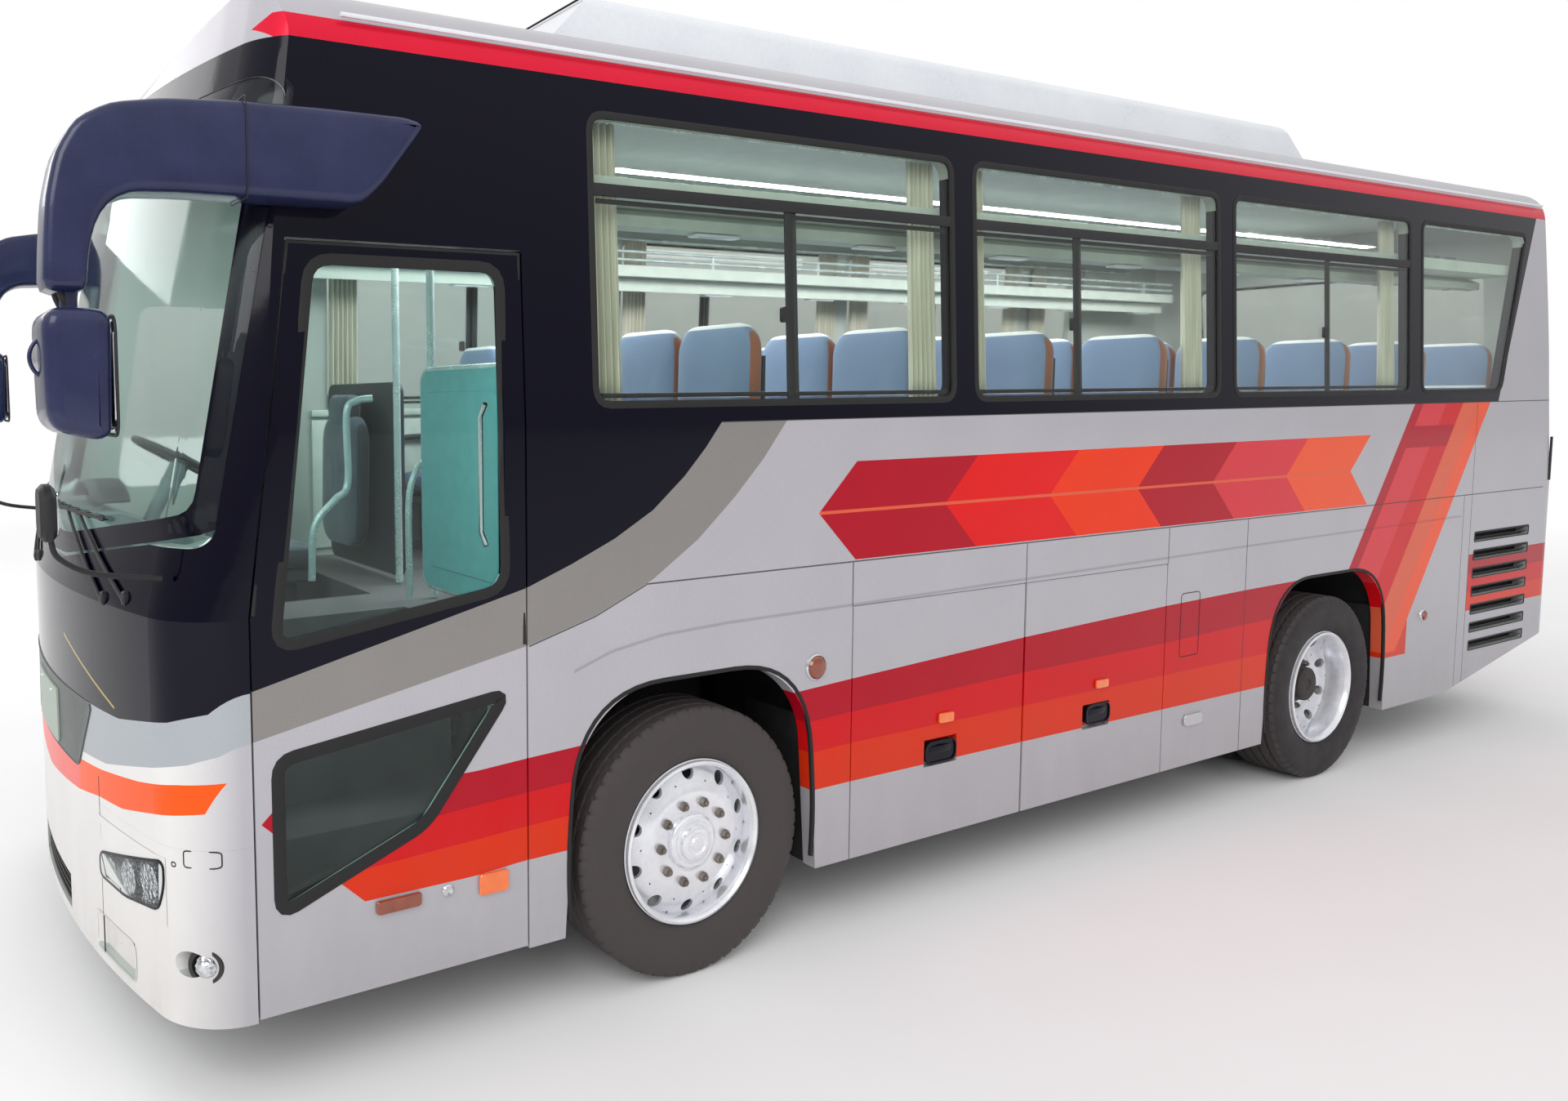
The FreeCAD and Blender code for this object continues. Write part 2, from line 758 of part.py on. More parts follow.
def sideWall(side, xs):
    region = block(f"{side}Region", xs, ("noseSplit - overrunLength", "chassisBack"), WALL_Z)
    tools = windowTools(side, xs, "0")
    tools.append(noseForm(f"{side}NoseForm", "skinGap", "roofLine"))
    tools.append(archTool(f"{side}FrontArch", xs, "frontAxle", "frontArchHalf"))
    tools.append(archTool(f"{side}RearArch", xs, "rearAxle", "rearArchHalf"))
    tools.append(block(f"{side}LidHole", xs, ("lidStart", "holdEnd"), (BELOW, "lidTop")))
    if xs is LEFT:
        tools.append(entrancePrism("entranceHole", "0", "doorTop"))
        for number in range(int(s.ventCount)):
            foot = f"skirtHeight + ventFootHeight + {number} * ventSpacing"
            tools.append(block(f"vent{number + 1}", xs,
                               ("tailSplit - ventInset - ventLength", "tailSplit - ventInset"),
                               (foot, f"{foot} + ventHeight")))
    else:
        tools.append(block("emergencyHole", xs, ("emergencyStart", "emergencyStart + emergencyLength"),
                           ("emergencyFoot", "emergencyHead")))
    return cut(f"{side}Wall", common(f"{side}WallBlank", bodySkin, region), *tools)


keep("side_wall_left", sideWall("left", LEFT))
keep("side_wall_right", sideWall("right", RIGHT))

# Fixed panes: side windows, driver's window and rear window
REAR_WINDOW_X = ("rearWindowInset - halfWidth", "halfWidth - rearWindowInset")
REAR_WINDOW_Z = ("windowSill + rearWindowSillHeight", "windowHead - rearWindowHeadDepth")
panes = []
for side, xs in (("left", LEFT), ("right", RIGHT)):
    for number, tool in enumerate(windowTools(side + "Pane", xs, "skinGap"), 1):
        panes.append(common(f"{side}Glass{number}", paneSkin, tool))
panes.append(common("rearGlass", paneSkin, opening(
    "rearPane", (REAR_WINDOW_X[0] + " + skinGap", REAR_WINDOW_X[1] + " - skinGap"), TAIL_Y,
    (REAR_WINDOW_Z[0] + " + skinGap", REAR_WINDOW_Z[1] + " - skinGap"), s.windowCornerRadius, ALONG_Y)))
keep("fixed_windows", gather("fixedWindows", *panes))


# Nose: panel with the windscreen opening, windscreen, bumper with intakes and lamp pockets

def screenForm(name, gap):
    """The windscreen wraps round both corners to an edge that leans with the pillars and dips midway."""
    slope = "screenLeanDepth / (roofLine - leanStart) * (windowHead - screenSill)"
    edge = f"noseSplit - screenEdgeInset - {gap}"
    far = "noseY - 2 * windowCornerRadius"
    wrap = sideOpening(name + "Wrap", ALL_X, [
        (far, f"screenSill + {gap}"),
        (edge, f"screenSill + {gap}"),
        (f"{edge} + {slope}", f"windowHead - {gap}"),
        (far, f"windowHead - {gap}"),
    ], s.windowCornerRadius)
    rim = f"screenSill + screenDipDepth / 4 + {gap}"
    dip = prism(name + "Dip", "xz", [
        (f"{gap} - innerHalf", rim),
        ("-screenDipReach", f"screenSill - screenDipDepth + {gap}"),
        ("screenDipReach", f"screenSill - screenDipDepth + {gap}"),
        (f"innerHalf - {gap}", rim),
    ], "noseY - overrunLength", "noseY + screenLeanDepth")
    return fuse(name, wrap, dip)


noseRegion = block("noseRegion", ALL_X, ("noseY - overrunLength", "frontAxle"),
                   ("bumperTop + skinGap", ABOVE))
noseBlank = common("noseBlank", bodySkin, noseForm("noseOutline", "0", "roofLine - skinGap"), noseRegion)
keep("front_shell", cut("frontShell", noseBlank, screenForm("screenHole", "0")))
keep("windscreen", common("windscreen", paneSkin, screenForm("screenPane", "skinGap")))


def headlampForm(name, left, gap):
    """Lamp outline: a straight upper edge and a lower edge that rises towards the middle of the nose."""
    outer = "halfWidth - headlampInset"
    points = []
    for across, up in headlampShares:
        reach = f"{outer} - headlampLength * {1 - across} + {gap} * {1 - 2 * across}"
        height = f"headlampTop - headlampHeight * {1 - up} - {gap} * {2 * up - 1}"
        points.append((reach if left else f"-({reach})", height))
    return prism(name, "xz", points, *NOSE_Y)


lampHoles = []
lampForms = []
intakes = [block("middleIntake", ("-intakeLength", "intakeLength"), NOSE_Y,
                 ("skirtHeight + intakeFootHeight", "skirtHeight + intakeFootHeight + intakeHeight"))]
for side, left in (("left", True), ("right", False)):
    lampHoles.append(headlampForm(f"{side}LampHole", left, "0"))
    lampForms.append(common(f"{side}Lamp", leafSkin, headlampForm(f"{side}LampForm", left, "skinGap")))
    fogX = "halfWidth - fogInset" if left else "fogInset - halfWidth"
    fogStart = (fogX, "noseY", "skirtHeight + fogHeight")
    lampHoles.append(rod(f"{side}FogHole", "y", fogStart, "fogRadius", "noseDepth"))
    lampForms.append(common(f"{side}Fog", leafSkin,
                            rod(f"{side}FogRod", "y", fogStart, "fogRadius - skinGap",
                                                        "noseDepth")))
    intakes.append(block(f"{side}Intake",
                         spans("halfWidth - intakeInset - intakeLength", "halfWidth - intakeInset",
                                                left), NOSE_Y,
                         ("skirtHeight + intakeFootHeight",
                          "skirtHeight + intakeFootHeight + intakeHeight")))
bumperBlank = common("bumperBlank", bodySkin, block("bumperRegion", ALL_X, NOSE_Y, (BELOW, "bumperTop")))
keep("front_bumper", cut("frontBumper", bumperBlank, *lampHoles, *intakes))
keep("headlamps", gather("headlamps", *lampForms))

# Roof and tail: round lamps one above the other at each corner
keep("roof_shell", common("roofShell", bodySkin, block(
    "roofRegion", ALL_X, ("noseY - overrunLength", "tailY + overrunLength"), ("roofLine", ABOVE))))
tailBlank = common("tailBlank", bodySkin, block("tailRegion", ALL_X, TAIL_Y, WALL_Z))
tailTools = [
    opening("rearWindowHole", REAR_WINDOW_X, TAIL_Y, REAR_WINDOW_Z, s.windowCornerRadius, ALONG_Y),
    block("engineHole", ("engineLidInset - halfWidth", "halfWidth - engineLidInset"), TAIL_Y,
          ("engineLidFoot", "engineLidTop")),
]
tailLamps = []
for side, sign in (("left", "halfWidth - tailLampInset"), ("right", "tailLampInset - halfWidth")):
    for number in range(int(s.tailLampCount)):
        start = (sign, "tailSplit", f"tailSkirt + tailLampFootHeight + {number} * tailLampSpacing")
        tailTools.append(rod(f"{side}TailHole{number + 1}", "y", start, "tailLampRadius", "tailDepth"))
        tailLamps.append(common(f"{side}TailLamp{number + 1}", leafSkin, rod(
            f"{side}TailRod{number + 1}", "y", start, "tailLampRadius - skinGap", "tailDepth")))
keep("rear_shell", cut("rearShell", tailBlank, *tailTools))
keep("tail_lamps", gather("tailLamps", *tailLamps))
keep("engine_lid", common("engineLid", leafSkin, block(
    "engineLeaf", ("engineLidInset - halfWidth + lidGap", "halfWidth - engineLidInset - lidGap"), TAIL_Y,
    ("engineLidFoot + lidGap", "engineLidTop - skinGap"))))


# Luggage lids: flat leaves with a rounded hinge edge along the top and a latch recess

def luggageLid(side, number):
    left = side == "left"
    front = f"lidStart + {number} * lidLength + lidGap"
    back = f"lidStart + {number + 1} * lidLength - lidGap"
    leaf = block(f"{side}Lid{number}Leaf", spans("halfWidth - leafThickness", "halfWidth", left),
                 (front, back),
                 ("skirtHeight", "lidTop - skinGap"))
    hinged = rounded(f"{side}Lid{number}Hinged", leaf, s.hingeRadius, ALONG_Y, where=lambda place: (
        abs(place.x) > s.halfWidth - s.hingeRadius and place.z > s.lidTop - s.hingeRadius))
    middle = f"lidStart + ({number} + 1 / 2) * lidLength"
    latch = block(f"{side}Lid{number}Latch",
                  spans("halfWidth - latchDepth", "halfWidth + overrunLength", left),
                  (f"{middle} - latchLength / 2", f"{middle} + latchLength / 2"),
                  ("skirtHeight + latchFootHeight", "skirtHeight + latchFootHeight + latchHeight"))
    return cut(f"{side}Lid{number}", hinged, latch)


for side in ("left", "right"):
    keep(f"luggage_lid_{side}_front", luggageLid(side, 0))
    keep(f"luggage_lid_{side}_rear", luggageLid(side, 1))

# Emergency door on the right, with its own pane
emergencyLeaf = common("emergencyLeaf", leafSkin, block(
    "emergencyBlock", RIGHT, ("emergencyStart + skinGap", "emergencyStart + emergencyLength - lidGap"),
    ("emergencyFoot + lidGap", "emergencyHead - lidGap")))


def emergencyWindow(name, gap):
    return opening(name, RIGHT, (f"emergencyStart + emergencyMargin + {gap}",
                                 f"emergencyStart + emergencyLength - emergencyMargin - {gap}"),
                   (f"windowSill + {gap}", f"emergencyHead - emergencyMargin - {gap}"),
                   s.windowCornerRadius)


keep("emergency_door", cut("emergencyDoor", emergencyLeaf, emergencyWindow("emergencyWindow", "0")))
keep("emergency_door_glass",
     common("emergencyGlass", paneSkin, emergencyWindow("emergencyPane", "skinGap")))


# Entrance door: a leaf with two panes, carried by two bent arms on an upright post

def doorWindows(name, gap):
    """The tall pane over the swept moulding and the low pane, whose lower edge rises to the rear."""
    front = f"noseSplit + doorFrontMargin + {gap}"
    back = f"doorEnd - doorRearMargin - {gap}"
    top = f"doorTop - doorHeadDepth - {gap}"
    tall = sideOpening(name + "Tall", LEFT, [
        (front, f"doorSill + {gap}"),
        (back, f"doorSill + doorSillSlantHeight + {gap}"),
        (back, top),
        (f"{front} + pillarLeanDepth", top),
    ], s.windowCornerRadius)
    foot = "skirtHeight + doorLowSillHeight"
    low = sideOpening(name + "Low", LEFT, [
        (front, f"{foot} + {gap}"),
        (f"noseSplit + doorLowKneeLength - {gap}", f"{foot} + doorLowKneeHeight + {gap}"),
        (f"{back} - 2 * ({gap})", f"{foot} + doorLowHeadHeight - {gap}"),
        (front, f"{foot} + doorLowHeadHeight - doorLowSlantHeight - {gap}"),
    ], s.doorLowCornerRadius)
    return [tall, low]


doorBlank = common("doorBlank", leafSkin, entrancePrism("doorForm", "lidGap", "doorTop - lidGap"), block(
    "doorRegion", LEFT, ("noseSplit", "doorEnd"), ("doorFoot", "doorTop")))
doorLeaf = cut("doorLeaf", doorBlank, *doorWindows("doorHole", "0"))
armHeights = ("doorFoot + doorArmLowHeight", "doorFoot + doorArmHighHeight")
bracketParts = [doorLeaf]
for number, level in enumerate(armHeights):
    under = f"{level} + doorArmRadius + skinGap"
    bracketParts.append(block(f"doorBracket{number}", ("postX", "halfWidth - leafThickness"),
                              ("armEnd - doorPostRadius", "armEnd + doorPostRadius"),
                              (under, f"{under} + doorPostRadius")))
    bracketParts.append(rod(f"doorEye{number}", "z", ("postX", "armEnd", under), "doorPostRadius",
                            "doorPostRadius"))
keep("entrance_door", fuse("entranceDoor", *bracketParts))
keep("entrance_door_glass", gather("entranceGlass", *[
    common(f"doorGlass{number}", paneSkin, tool)
    for number, tool in enumerate(doorWindows("doorPane", "skinGap"))]))
armParts = [rod("doorPost", "z", ("postX", "postY", "stepFoot + skinGap"), "doorPostRadius",
                "doorPostHeight")]
for number, level in enumerate(armHeights):
    armParts.append(prism(f"doorArm{number}", "xy", [
        ("postX - doorArmRadius", "postY - doorArmRadius"),
        ("postX + doorArmRadius", "postY"),
        ("postX - doorArmBulgeDepth + 2 * doorArmRadius", "(postY + armEnd) / 2"),
        ("postX + doorArmRadius", "armEnd - doorArmRadius"),
        ("postX + doorArmRadius", "armEnd + doorArmRadius"),
        ("postX - doorArmRadius", "armEnd + doorArmRadius"),
        ("postX - doorArmBulgeDepth", "(postY + armEnd) / 2"),
    ], f"{level} - doorArmRadius", f"{level} + doorArmRadius"))
keep("door_arm", fuse("doorArm", *armParts))

# Roof air conditioner: a long low housing that tapers upwards, seated on the crown
unitForm = doc.addObject("Part::Wedge", "unitForm")
unitForm.Placement = FreeCAD.Placement(Vector(), PLANES["xz"])
bind(unitForm, Xmin="-unitWidth / 2", Xmax="unitWidth / 2", Zmin="0", Zmax="unitLength",
     X2min="unitSlopeWidth - unitWidth / 2", X2max="unitWidth / 2 - unitSlopeWidth",
     Z2min="unitSlopeLength", Z2max="unitLength - unitSlopeLength", Ymin="0", Ymax="unitTop - roofLine",
     Placement_Base_y="noseY + unitInset + unitLength", Placement_Base_z="roofLine")
unitRounded = rounded("unitRounded", unitForm, s.unitEdgeRadius, ALONG_X, ALONG_Y, where=lambda place: (
    place.z > s.crownLine))
keep("roof_air_conditioner", cut("roofUnit", unitRounded, outerBody))

# Mirrors: a deep arm on the side above the door, bent down ahead of the nose to a hanging head
bend = [(f"mirrorFront + mirrorBendLength * {across}", f"mirrorTop - mirrorBendDepth * {down}")
        for across, down in mirrorBendShares]
mirrorArm = rounded("mirrorArm", prism("mirrorArmForm", "yz", [
    ("noseY + mirrorLength", "mirrorTop"),
    ("noseY + mirrorLength - mirrorSlantLength", "mirrorRoot"),
    ("mirrorFront + mirrorNeckDepth + mirrorElbowLength", "mirrorRoot"),
    ("mirrorFront + mirrorNeckDepth", "mirrorNeck"),
    ("mirrorFront", "mirrorNeck"),
] + bend, "innerHalf", "halfWidth + mirrorArmReach"), s.mirrorCornerRadius, ALONG_X, where=lambda place: (
    place.z > s.mirrorNeck + s.mirrorCornerRadius))
headFront = "noseY - mirrorReach + mirrorHeadInset"
mirrorHead = rounded("mirrorHead", block(
    "mirrorHeadForm", ("halfWidth + mirrorHeadReach - mirrorHeadWidth", "halfWidth + mirrorHeadReach"),
    (headFront, f"{headFront} + mirrorHeadDepth"),
    ("mirrorNeck - mirrorHeadHeight", "mirrorNeck - mirrorHeadGap")), s.mirrorHeadRadius, ALONG_Z, ALONG_X)
mirrorStem = block("mirrorStem", ("innerHalf", "halfWidth + mirrorArmReach"),
                   (headFront, "mirrorFront + mirrorNeckDepth"),
                   ("mirrorNeck - mirrorStemHeight", "mirrorNeck + mirrorStemHeight"))
# a small close-view mirror in a hoop ahead of the head
mirrorHoop = doc.addObject("Part::Torus", "mirrorHoop")
mirrorHoop.Placement = FreeCAD.Placement(Vector(), PLANES["yz"])
bind(mirrorHoop, Radius1="mirrorHoopRadius - hoopWireRadius", Radius2="hoopWireRadius",
     Placement_Base_x="halfWidth + mirrorHoopReach",
     Placement_Base_y="noseY - mirrorReach + mirrorHoopRadius",
     Placement_Base_z="mirrorNeck - mirrorHoopDepth")
leftMirror = keep("mirror_left",
                  cut("leftMirror", fuse("mirrorForm", mirrorArm, mirrorHead, mirrorStem, mirrorHoop),
                                     outerBody))
keep("mirror_right", mirrored("rightMirror", leftMirror))


# Wipers: two pivots below the screen, two arms and a blade along the screen's foot on each side

def wiperForm(name, shift):
    pivotZ = "screenSill - wiperPivotDepth"
    bladeZ = "screenSill + bladeHeight"
    parts = []
    for number in range(2):
        pivot = f"wiperPivotOffset + {number} * wiperPivotSpacing - {shift}"
        tip = f"{pivot} - wiperArmLength"
        boss = rod(f"{name}Boss{number}", "y", (pivot, "noseY - wiperThickness", pivotZ),
                   "wiperPivotRadius", "noseDepth")
        parts.append(cut(f"{name}Pivot{number}", boss, outerBody))
        parts.append(common(f"{name}Arm{number}", wiperSkin, prism(f"{name}ArmStrip{number}", "xz", [
            (tip, f"{bladeZ} - wiperArmWidth / 2"),
            (f"{pivot} - wiperArmWidth / 2", f"{pivotZ} - wiperArmWidth / 2"),
            (f"{pivot} + wiperArmWidth / 2", f"{pivotZ} + wiperArmWidth / 2"),
            (f"{tip} + wiperArmWidth", f"{bladeZ} + wiperArmWidth / 2"),
        ], "noseY - 2 * wiperThickness", "noseSplit")))
    middle = f"wiperPivotOffset - wiperArmLength - {shift}"
    parts.append(common(f"{name}Blade", wiperSkin, block(
        f"{name}BladeStrip", (f"{middle} - bladeLength / 2", f"{middle} + bladeLength / 2"),
        ("noseY - 2 * wiperThickness", "noseSplit"),
        (f"{bladeZ} - bladeWidth / 2", f"{bladeZ} + bladeWidth / 2"))))
    return fuse(name, *parts)


keep("wipers", gather("wipers", wiperForm("leftWiper", "0"), wiperForm("rightWiper", "wiperSpacing")))

# Cabin floor with the driver's platform and the entrance steps, in one piece
floorSlab = block("floorSlab", INSIDE_X, ("riserY", "chassisBack"),
                  ("floorHeight - floorThickness", "floorHeight"))
cabSlab = block("cabSlab", ("-innerHalf", "cabFloorReach"), ("noseY", "riserY + floorThickness"),
                ("cabFloor - floorThickness", "cabFloor"))
cabRiser = block("cabRiser", ("-innerHalf", "cabFloorReach"), ("riserY", "riserY + floorThickness"),
                 ("cabFloor - floorThickness", "floorHeight"))
cabSide = block("cabSide", ("cabFloorReach - floorThickness", "cabFloorReach"), ("noseSplit", "riserY"),
                ("cabFloor - floorThickness", "floorHeight"))
treads = [("innerHalf", "stepFoot"), ("innerHalf - stepDepth", "stepFoot")]
for number in range(1, 4):
    height = f"stepFoot + {number} * stepRise"
    treads.append((f"innerHalf - {number} * stepDepth", height))
    treads.append((f"innerHalf - {number + 1} * stepDepth", height))
undersides = [(f"({across}) - floorThickness", f"({up}) - floorThickness") for across, up in treads]
undersides[0] = ("innerHalf", undersides[0][1])
undersides[-1] = (treads[-1][0], undersides[-1][1])
steps = prism("steps", "xz", treads + undersides[::-1], "noseSplit", "riserY + floorThickness")
keep("floor_deck",
     common("floorDeck", fuse("floorBlank", floorSlab, cabSlab, cabRiser, cabSide, steps), cabinForm))

# Luggage hold: a tray between the axles with a wall at each end
holdOuter = block("holdOuter", INSIDE_X, ("holdStart", "holdEnd"),
                  ("holdFloor", "floorHeight - floorThickness"))
holdInner = block("holdInner", ALL_X, ("holdStart + holdPlateThickness", "holdEnd - holdPlateThickness"),
                  ("holdFloor + holdPlateThickness", "floorHeight"))
keep("luggage_hold", cut("luggageHold", holdOuter, holdInner))

# Chassis: two rails that drop under the hold, each with a pierced towing lug at its ends,
# and members between and outside them
railTop = [
    ("chassisFront", "frontRail"),
    ("holdStart - railKickLength - railWidth", "frontRail"),
    ("holdStart - railWidth", "holdRail"),
    ("holdEnd + railWidth", "holdRail"),
    ("holdEnd + railWidth + railKickLength", "rearRail"),
    ("chassisBack", "rearRail"),
]
lugInner = "railOffset - railWidth - towLugWidth"
chassisParts = []
for side, left in (("left", True), ("right", False)):
    xs = spans("railOffset - railWidth", "railOffset", left)
    # each rail is made of straight lengths, set end to end
    for number, ((start, high), (end, low)) in enumerate(zip(railTop, railTop[1:]), 1):
        if number < len(railTop) - 1:
            end = f"{end} - skinGap"
        length = prism(f"{side}Rail{number}", "yz", [
            (start, high), (end, low), (end, f"{low} - railDepth"), (start, f"{high} - railDepth"),
        ], *xs)
        if number in (1, len(railTop) - 1):
            lugStart = "chassisFront" if number == 1 else "chassisBack - towLugLength"
            lug = block(f"{side}Lug{number}", spans(lugInner, "railOffset - railWidth", left),
                        (lugStart, f"{lugStart} + towLugLength"),
                        (f"{high} - railDepth", f"{high} - railDepth + towLugThickness"))
            middle = f"({lugInner} + towLugWidth / 2)"
            foot = (middle if left else f"-{middle}", f"{lugStart} + towLugLength / 2", f"{high} - railDepth")
            bore = rod(f"{side}Bore{number}", "z", foot, "towBoreRadius", "towLugThickness")
            length = cut(f"{side}PiercedRail{number}", fuse(f"{side}RailEnd{number}", length, lug), bore)
        chassisParts.append(length)
for number, (outriggers, place, top) in enumerate([
        (False, "chassisFront + towLugLength + skinGap", "frontRail"),
        (True, "riserY + floorThickness + skinGap", "frontRail"),
        (True, "holdStart", "holdRail"),
        (True, "(holdStart + holdEnd - memberLength) / 2", "holdRail"),
        (True, "holdEnd - memberLength", "holdRail"),
        (True, "rearAxle + rearArchHalf + overrunLength", "rearRail"),
        (True, "rearMember", "rearRail")], 1):
    stretch = (place, f"{place} + memberLength")
    heights = (f"{top} - railDepth", top)
    between = ("railWidth + skinGap - railOffset", "railOffset - railWidth - skinGap")
    chassisParts.append(block(f"crossMember{number}", between, stretch, heights))
    if outriggers:
        for side, left in (("left", True), ("right", False)):
            chassisParts.append(block(f"{side}Outrigger{number}",
                                      spans("railOffset + skinGap", "innerHalf", left),
                                      stretch, heights))
keep("chassis_frame", gather("chassisFrame", *chassisParts))


# Front axle: a beam with an upright eye at each end, carried by pads under the rails

def railPads(name, axle, rail):
    """Pads that seat an axle under both rails."""
    return [block(f"{side}{name}Pad", spans("railOffset - railWidth", "railOffset", left),
                  (f"{axle} - beamWidth / 2", f"{axle} + beamWidth / 2"),
                  ("tyreRadius", f"{rail} - railDepth"))
            for side, left in (("left", True), ("right", False))]


axleParts = [block("frontBeam", ("-kingpinX", "kingpinX"),
                   ("frontAxle - beamWidth / 2", "frontAxle + beamWidth / 2"),
                   ("tyreRadius - beamDepth / 2", "tyreRadius + beamDepth / 2"))]
pinHoles = []
for side, across in (("left", "kingpinX"), ("right", "-kingpinX")):
    axleParts.append(rod(f"{side}Eye", "z", (across, "frontAxle", "tyreRadius - eyeHeight / 2"),
                         "eyeRadius",
                         "eyeHeight"))
    pinHoles.append(rod(f"{side}PinHole", "z", (across, "frontAxle", "tyreRadius - eyeHeight"),
                        "kingpinRadius + pinGap", "2 * eyeHeight"))
keep("front_axle", cut("frontAxleBeam", fuse(
    "frontAxleBlank", *axleParts, *railPads("Front", "frontAxle", "frontRail")), *pinHoles))

# Knuckles: a fork above and below the eye with the kingpin through it, and the stub axle outboard
forkFoot = "tyreRadius - eyeHeight / 2 - forkGap"
forkHead = "tyreRadius + eyeHeight / 2 + forkGap"
forkX = ("kingpinX - eyeRadius", "forkWeb + forkThickness")
forkY = ("frontAxle - eyeRadius", "frontAxle + eyeRadius")
leftKnuckle = keep("knuckle_left", fuse(
    "leftKnuckle",
    rod("kingpin", "z", ("kingpinX", "frontAxle", f"{forkFoot} - forkThickness"), "kingpinRadius",
        "eyeHeight + 2 * forkGap + 2 * forkThickness"),
    block("forkLow", forkX, forkY, (f"{forkFoot} - forkThickness", forkFoot)),
    block("forkHigh", forkX, forkY, (forkHead, f"{forkHead} + forkThickness")),
    block("forkWebPlate", ("forkWeb", "forkWeb + forkThickness"), forkY,
          (f"{forkFoot} - forkThickness", f"{forkHead} + forkThickness")),
    rod("spindle", "x", ("forkWeb", "frontAxle", "tyreRadius"), "spindleRadius",
        "trackHalf + tyreWidth / 4 - forkWeb"),
))
keep("knuckle_right", mirrored("rightKnuckle", leftKnuckle))

# Rear axle: a tube with a round final drive case, thinner ends for the hubs, pads under the rails
tubeEnd = "twinInner - tyreWidth / 2 - overrunLength"
keep("rear_axle", fuse(
    "rearAxleCase",
    rod("axleTube", "x", (f"-({tubeEnd})", "rearAxle", "tyreRadius"), "axleRadius", f"2 * ({tubeEnd})"),
    rod("axleEnds", "x", ("-trackHalf", "rearAxle", "tyreRadius"), "axleEndRadius", "2 * trackHalf"),
    rod("driveCase", "y", ("0", "rearAxle - driveCaseRadius", "tyreRadius"), "driveCaseRadius",
        "2 * driveCaseRadius"),
    *railPads("Rear", "rearAxle", "rearRail"),
))


# Wheels: outlines turned about the axle's line, points given as place along the axle and radius

def wheelBody(name, axle, rings, drilled=False):
    body = doc.addObject("PartDesign::Body", name)

    def sketchOn(role, label):
        sketch = body.newObject("Sketcher::SketchObject", label)
        sketch.AttachmentSupport = (next(f for f in body.Origin.OriginFeatures if f.Role == role), [""])
        sketch.MapMode = "FlatFace"
        return sketch

    for number, points in enumerate(rings):
        outline = sketchOn("XZ_Plane", f"{name}Outline{number}")
        drawOutline(outline, points)
        ring = body.newObject("PartDesign::Revolution", f"{name}Ring{number}")
        ring.Profile = outline
        ring.ReferenceAxis = (outline, ["H_Axis"])
    if drilled:
        circle = sketchOn("YZ_Plane", f"{name}HoleOutline")
        circle.addGeometry(Part.Circle(Vector(0, s.handHoleCircleRadius, 0), ALONG_Z, s.handHoleRadius),
                           False)
        circle.addConstraint([Sketcher.Constraint("Radius", 0, s.handHoleRadius),
                              Sketcher.Constraint("PointOnObject", 0, 3, -2),
                              Sketcher.Constraint("DistanceY", -1, 1, 0, 3, s.handHoleCircleRadius)])
        bind(circle, **{"Constraints[0]": "handHoleRadius", "Constraints[2]": "handHoleCircleRadius"})
        hole = body.newObject("PartDesign::Pocket", f"{name}Hole")
        hole.Profile = circle
        hole.Type = "ThroughAll"
        hole.SideType = "Symmetric"
        holes = body.newObject("PartDesign::PolarPattern", f"{name}Holes")
        holes.Originals = [hole]
        holes.Axis = (circle, ["N_Axis"])
        bind(holes, Occurrences="handHoleCount")
        body.Tip = holes
    bind(body, Placement_Base_y=axle, Placement_Base_z="tyreRadius")
    return body


def tyreOutline(centre):
    """Bead, bulging side walls, rounded shoulders and a flat tread."""
    bead = "rimRadius + beadGap"
    side = [(across, f"{bead} + (tyreRadius - {bead}) * {up}") for across, up in tyreSideShares]
    right = [(f"{centre} + tyreWidth / 2 * {across}", up) for across, up in side]
    tread = [(f"{centre} + tyreWidth / 2 * {treadShare}", "tyreRadius"),
             (f"{centre} - tyreWidth / 2 * {treadShare}", "tyreRadius")]
    left = [(f"{centre} - tyreWidth / 2 * {across}", up) for across, up in side[::-1]]
    return right + tread + left


def rimOutline(centre):
    """Drop-centre barrel with a flange at each edge."""
    stations = [("rimWidth / 2", "0"), ("rimWellWidth / 2 + rimWellDepth", "0"),
                ("rimWellWidth / 2", "rimWellDepth")]
    outer = [(f"{centre} - ({along})", f"rimRadius - {down}") for along, down in stations]
    outer += [(f"{centre} + {along}", f"rimRadius - {down}") for along, down in stations[::-1]]
    return outer + [(along, f"{radius} - rimThickness") for along, radius in outer[::-1]]


def discOutline(centre, disc, facing):
    """Plate from the barrel's well to the hub, dished towards the side that it faces."""
    root = f"{centre} {facing} discRootLength"
    well = "rimRadius - rimWellDepth - rimThickness / 2"
    back = "-" if facing == "+" else "+"
    return [
        (root, well), (disc, f"{well} - rimWellDepth"), (disc, "hubRadius"),
        (f"{disc} {back} discThickness", "hubRadius"),
        (f"{disc} {back} discThickness", f"{well} - 2 * rimWellDepth"),
        (f"{root} {back} discThickness", well),
    ]


def hubOutline(start, disc, end, bore):
    """Hub with a bolt flange behind the disc and a closed cap at its outer end."""
    flange = f"{disc} - 2 * discThickness"
    return [
        (start, bore), (start, "hubRadius + hubCapThickness"), (flange, "hubRadius + hubCapThickness"),
        (flange, "hubFlangeRadius"), (f"{disc} - discThickness / 2", "hubFlangeRadius"),
        (f"{disc} - discThickness / 2", "hubRadius + hubCapThickness / 2"),
        (end, "hubRadius - hubCapThickness"),
        (end, "0"), (f"{end} - hubCapThickness", "0"), (f"{end} - hubCapThickness", bore),
    ]


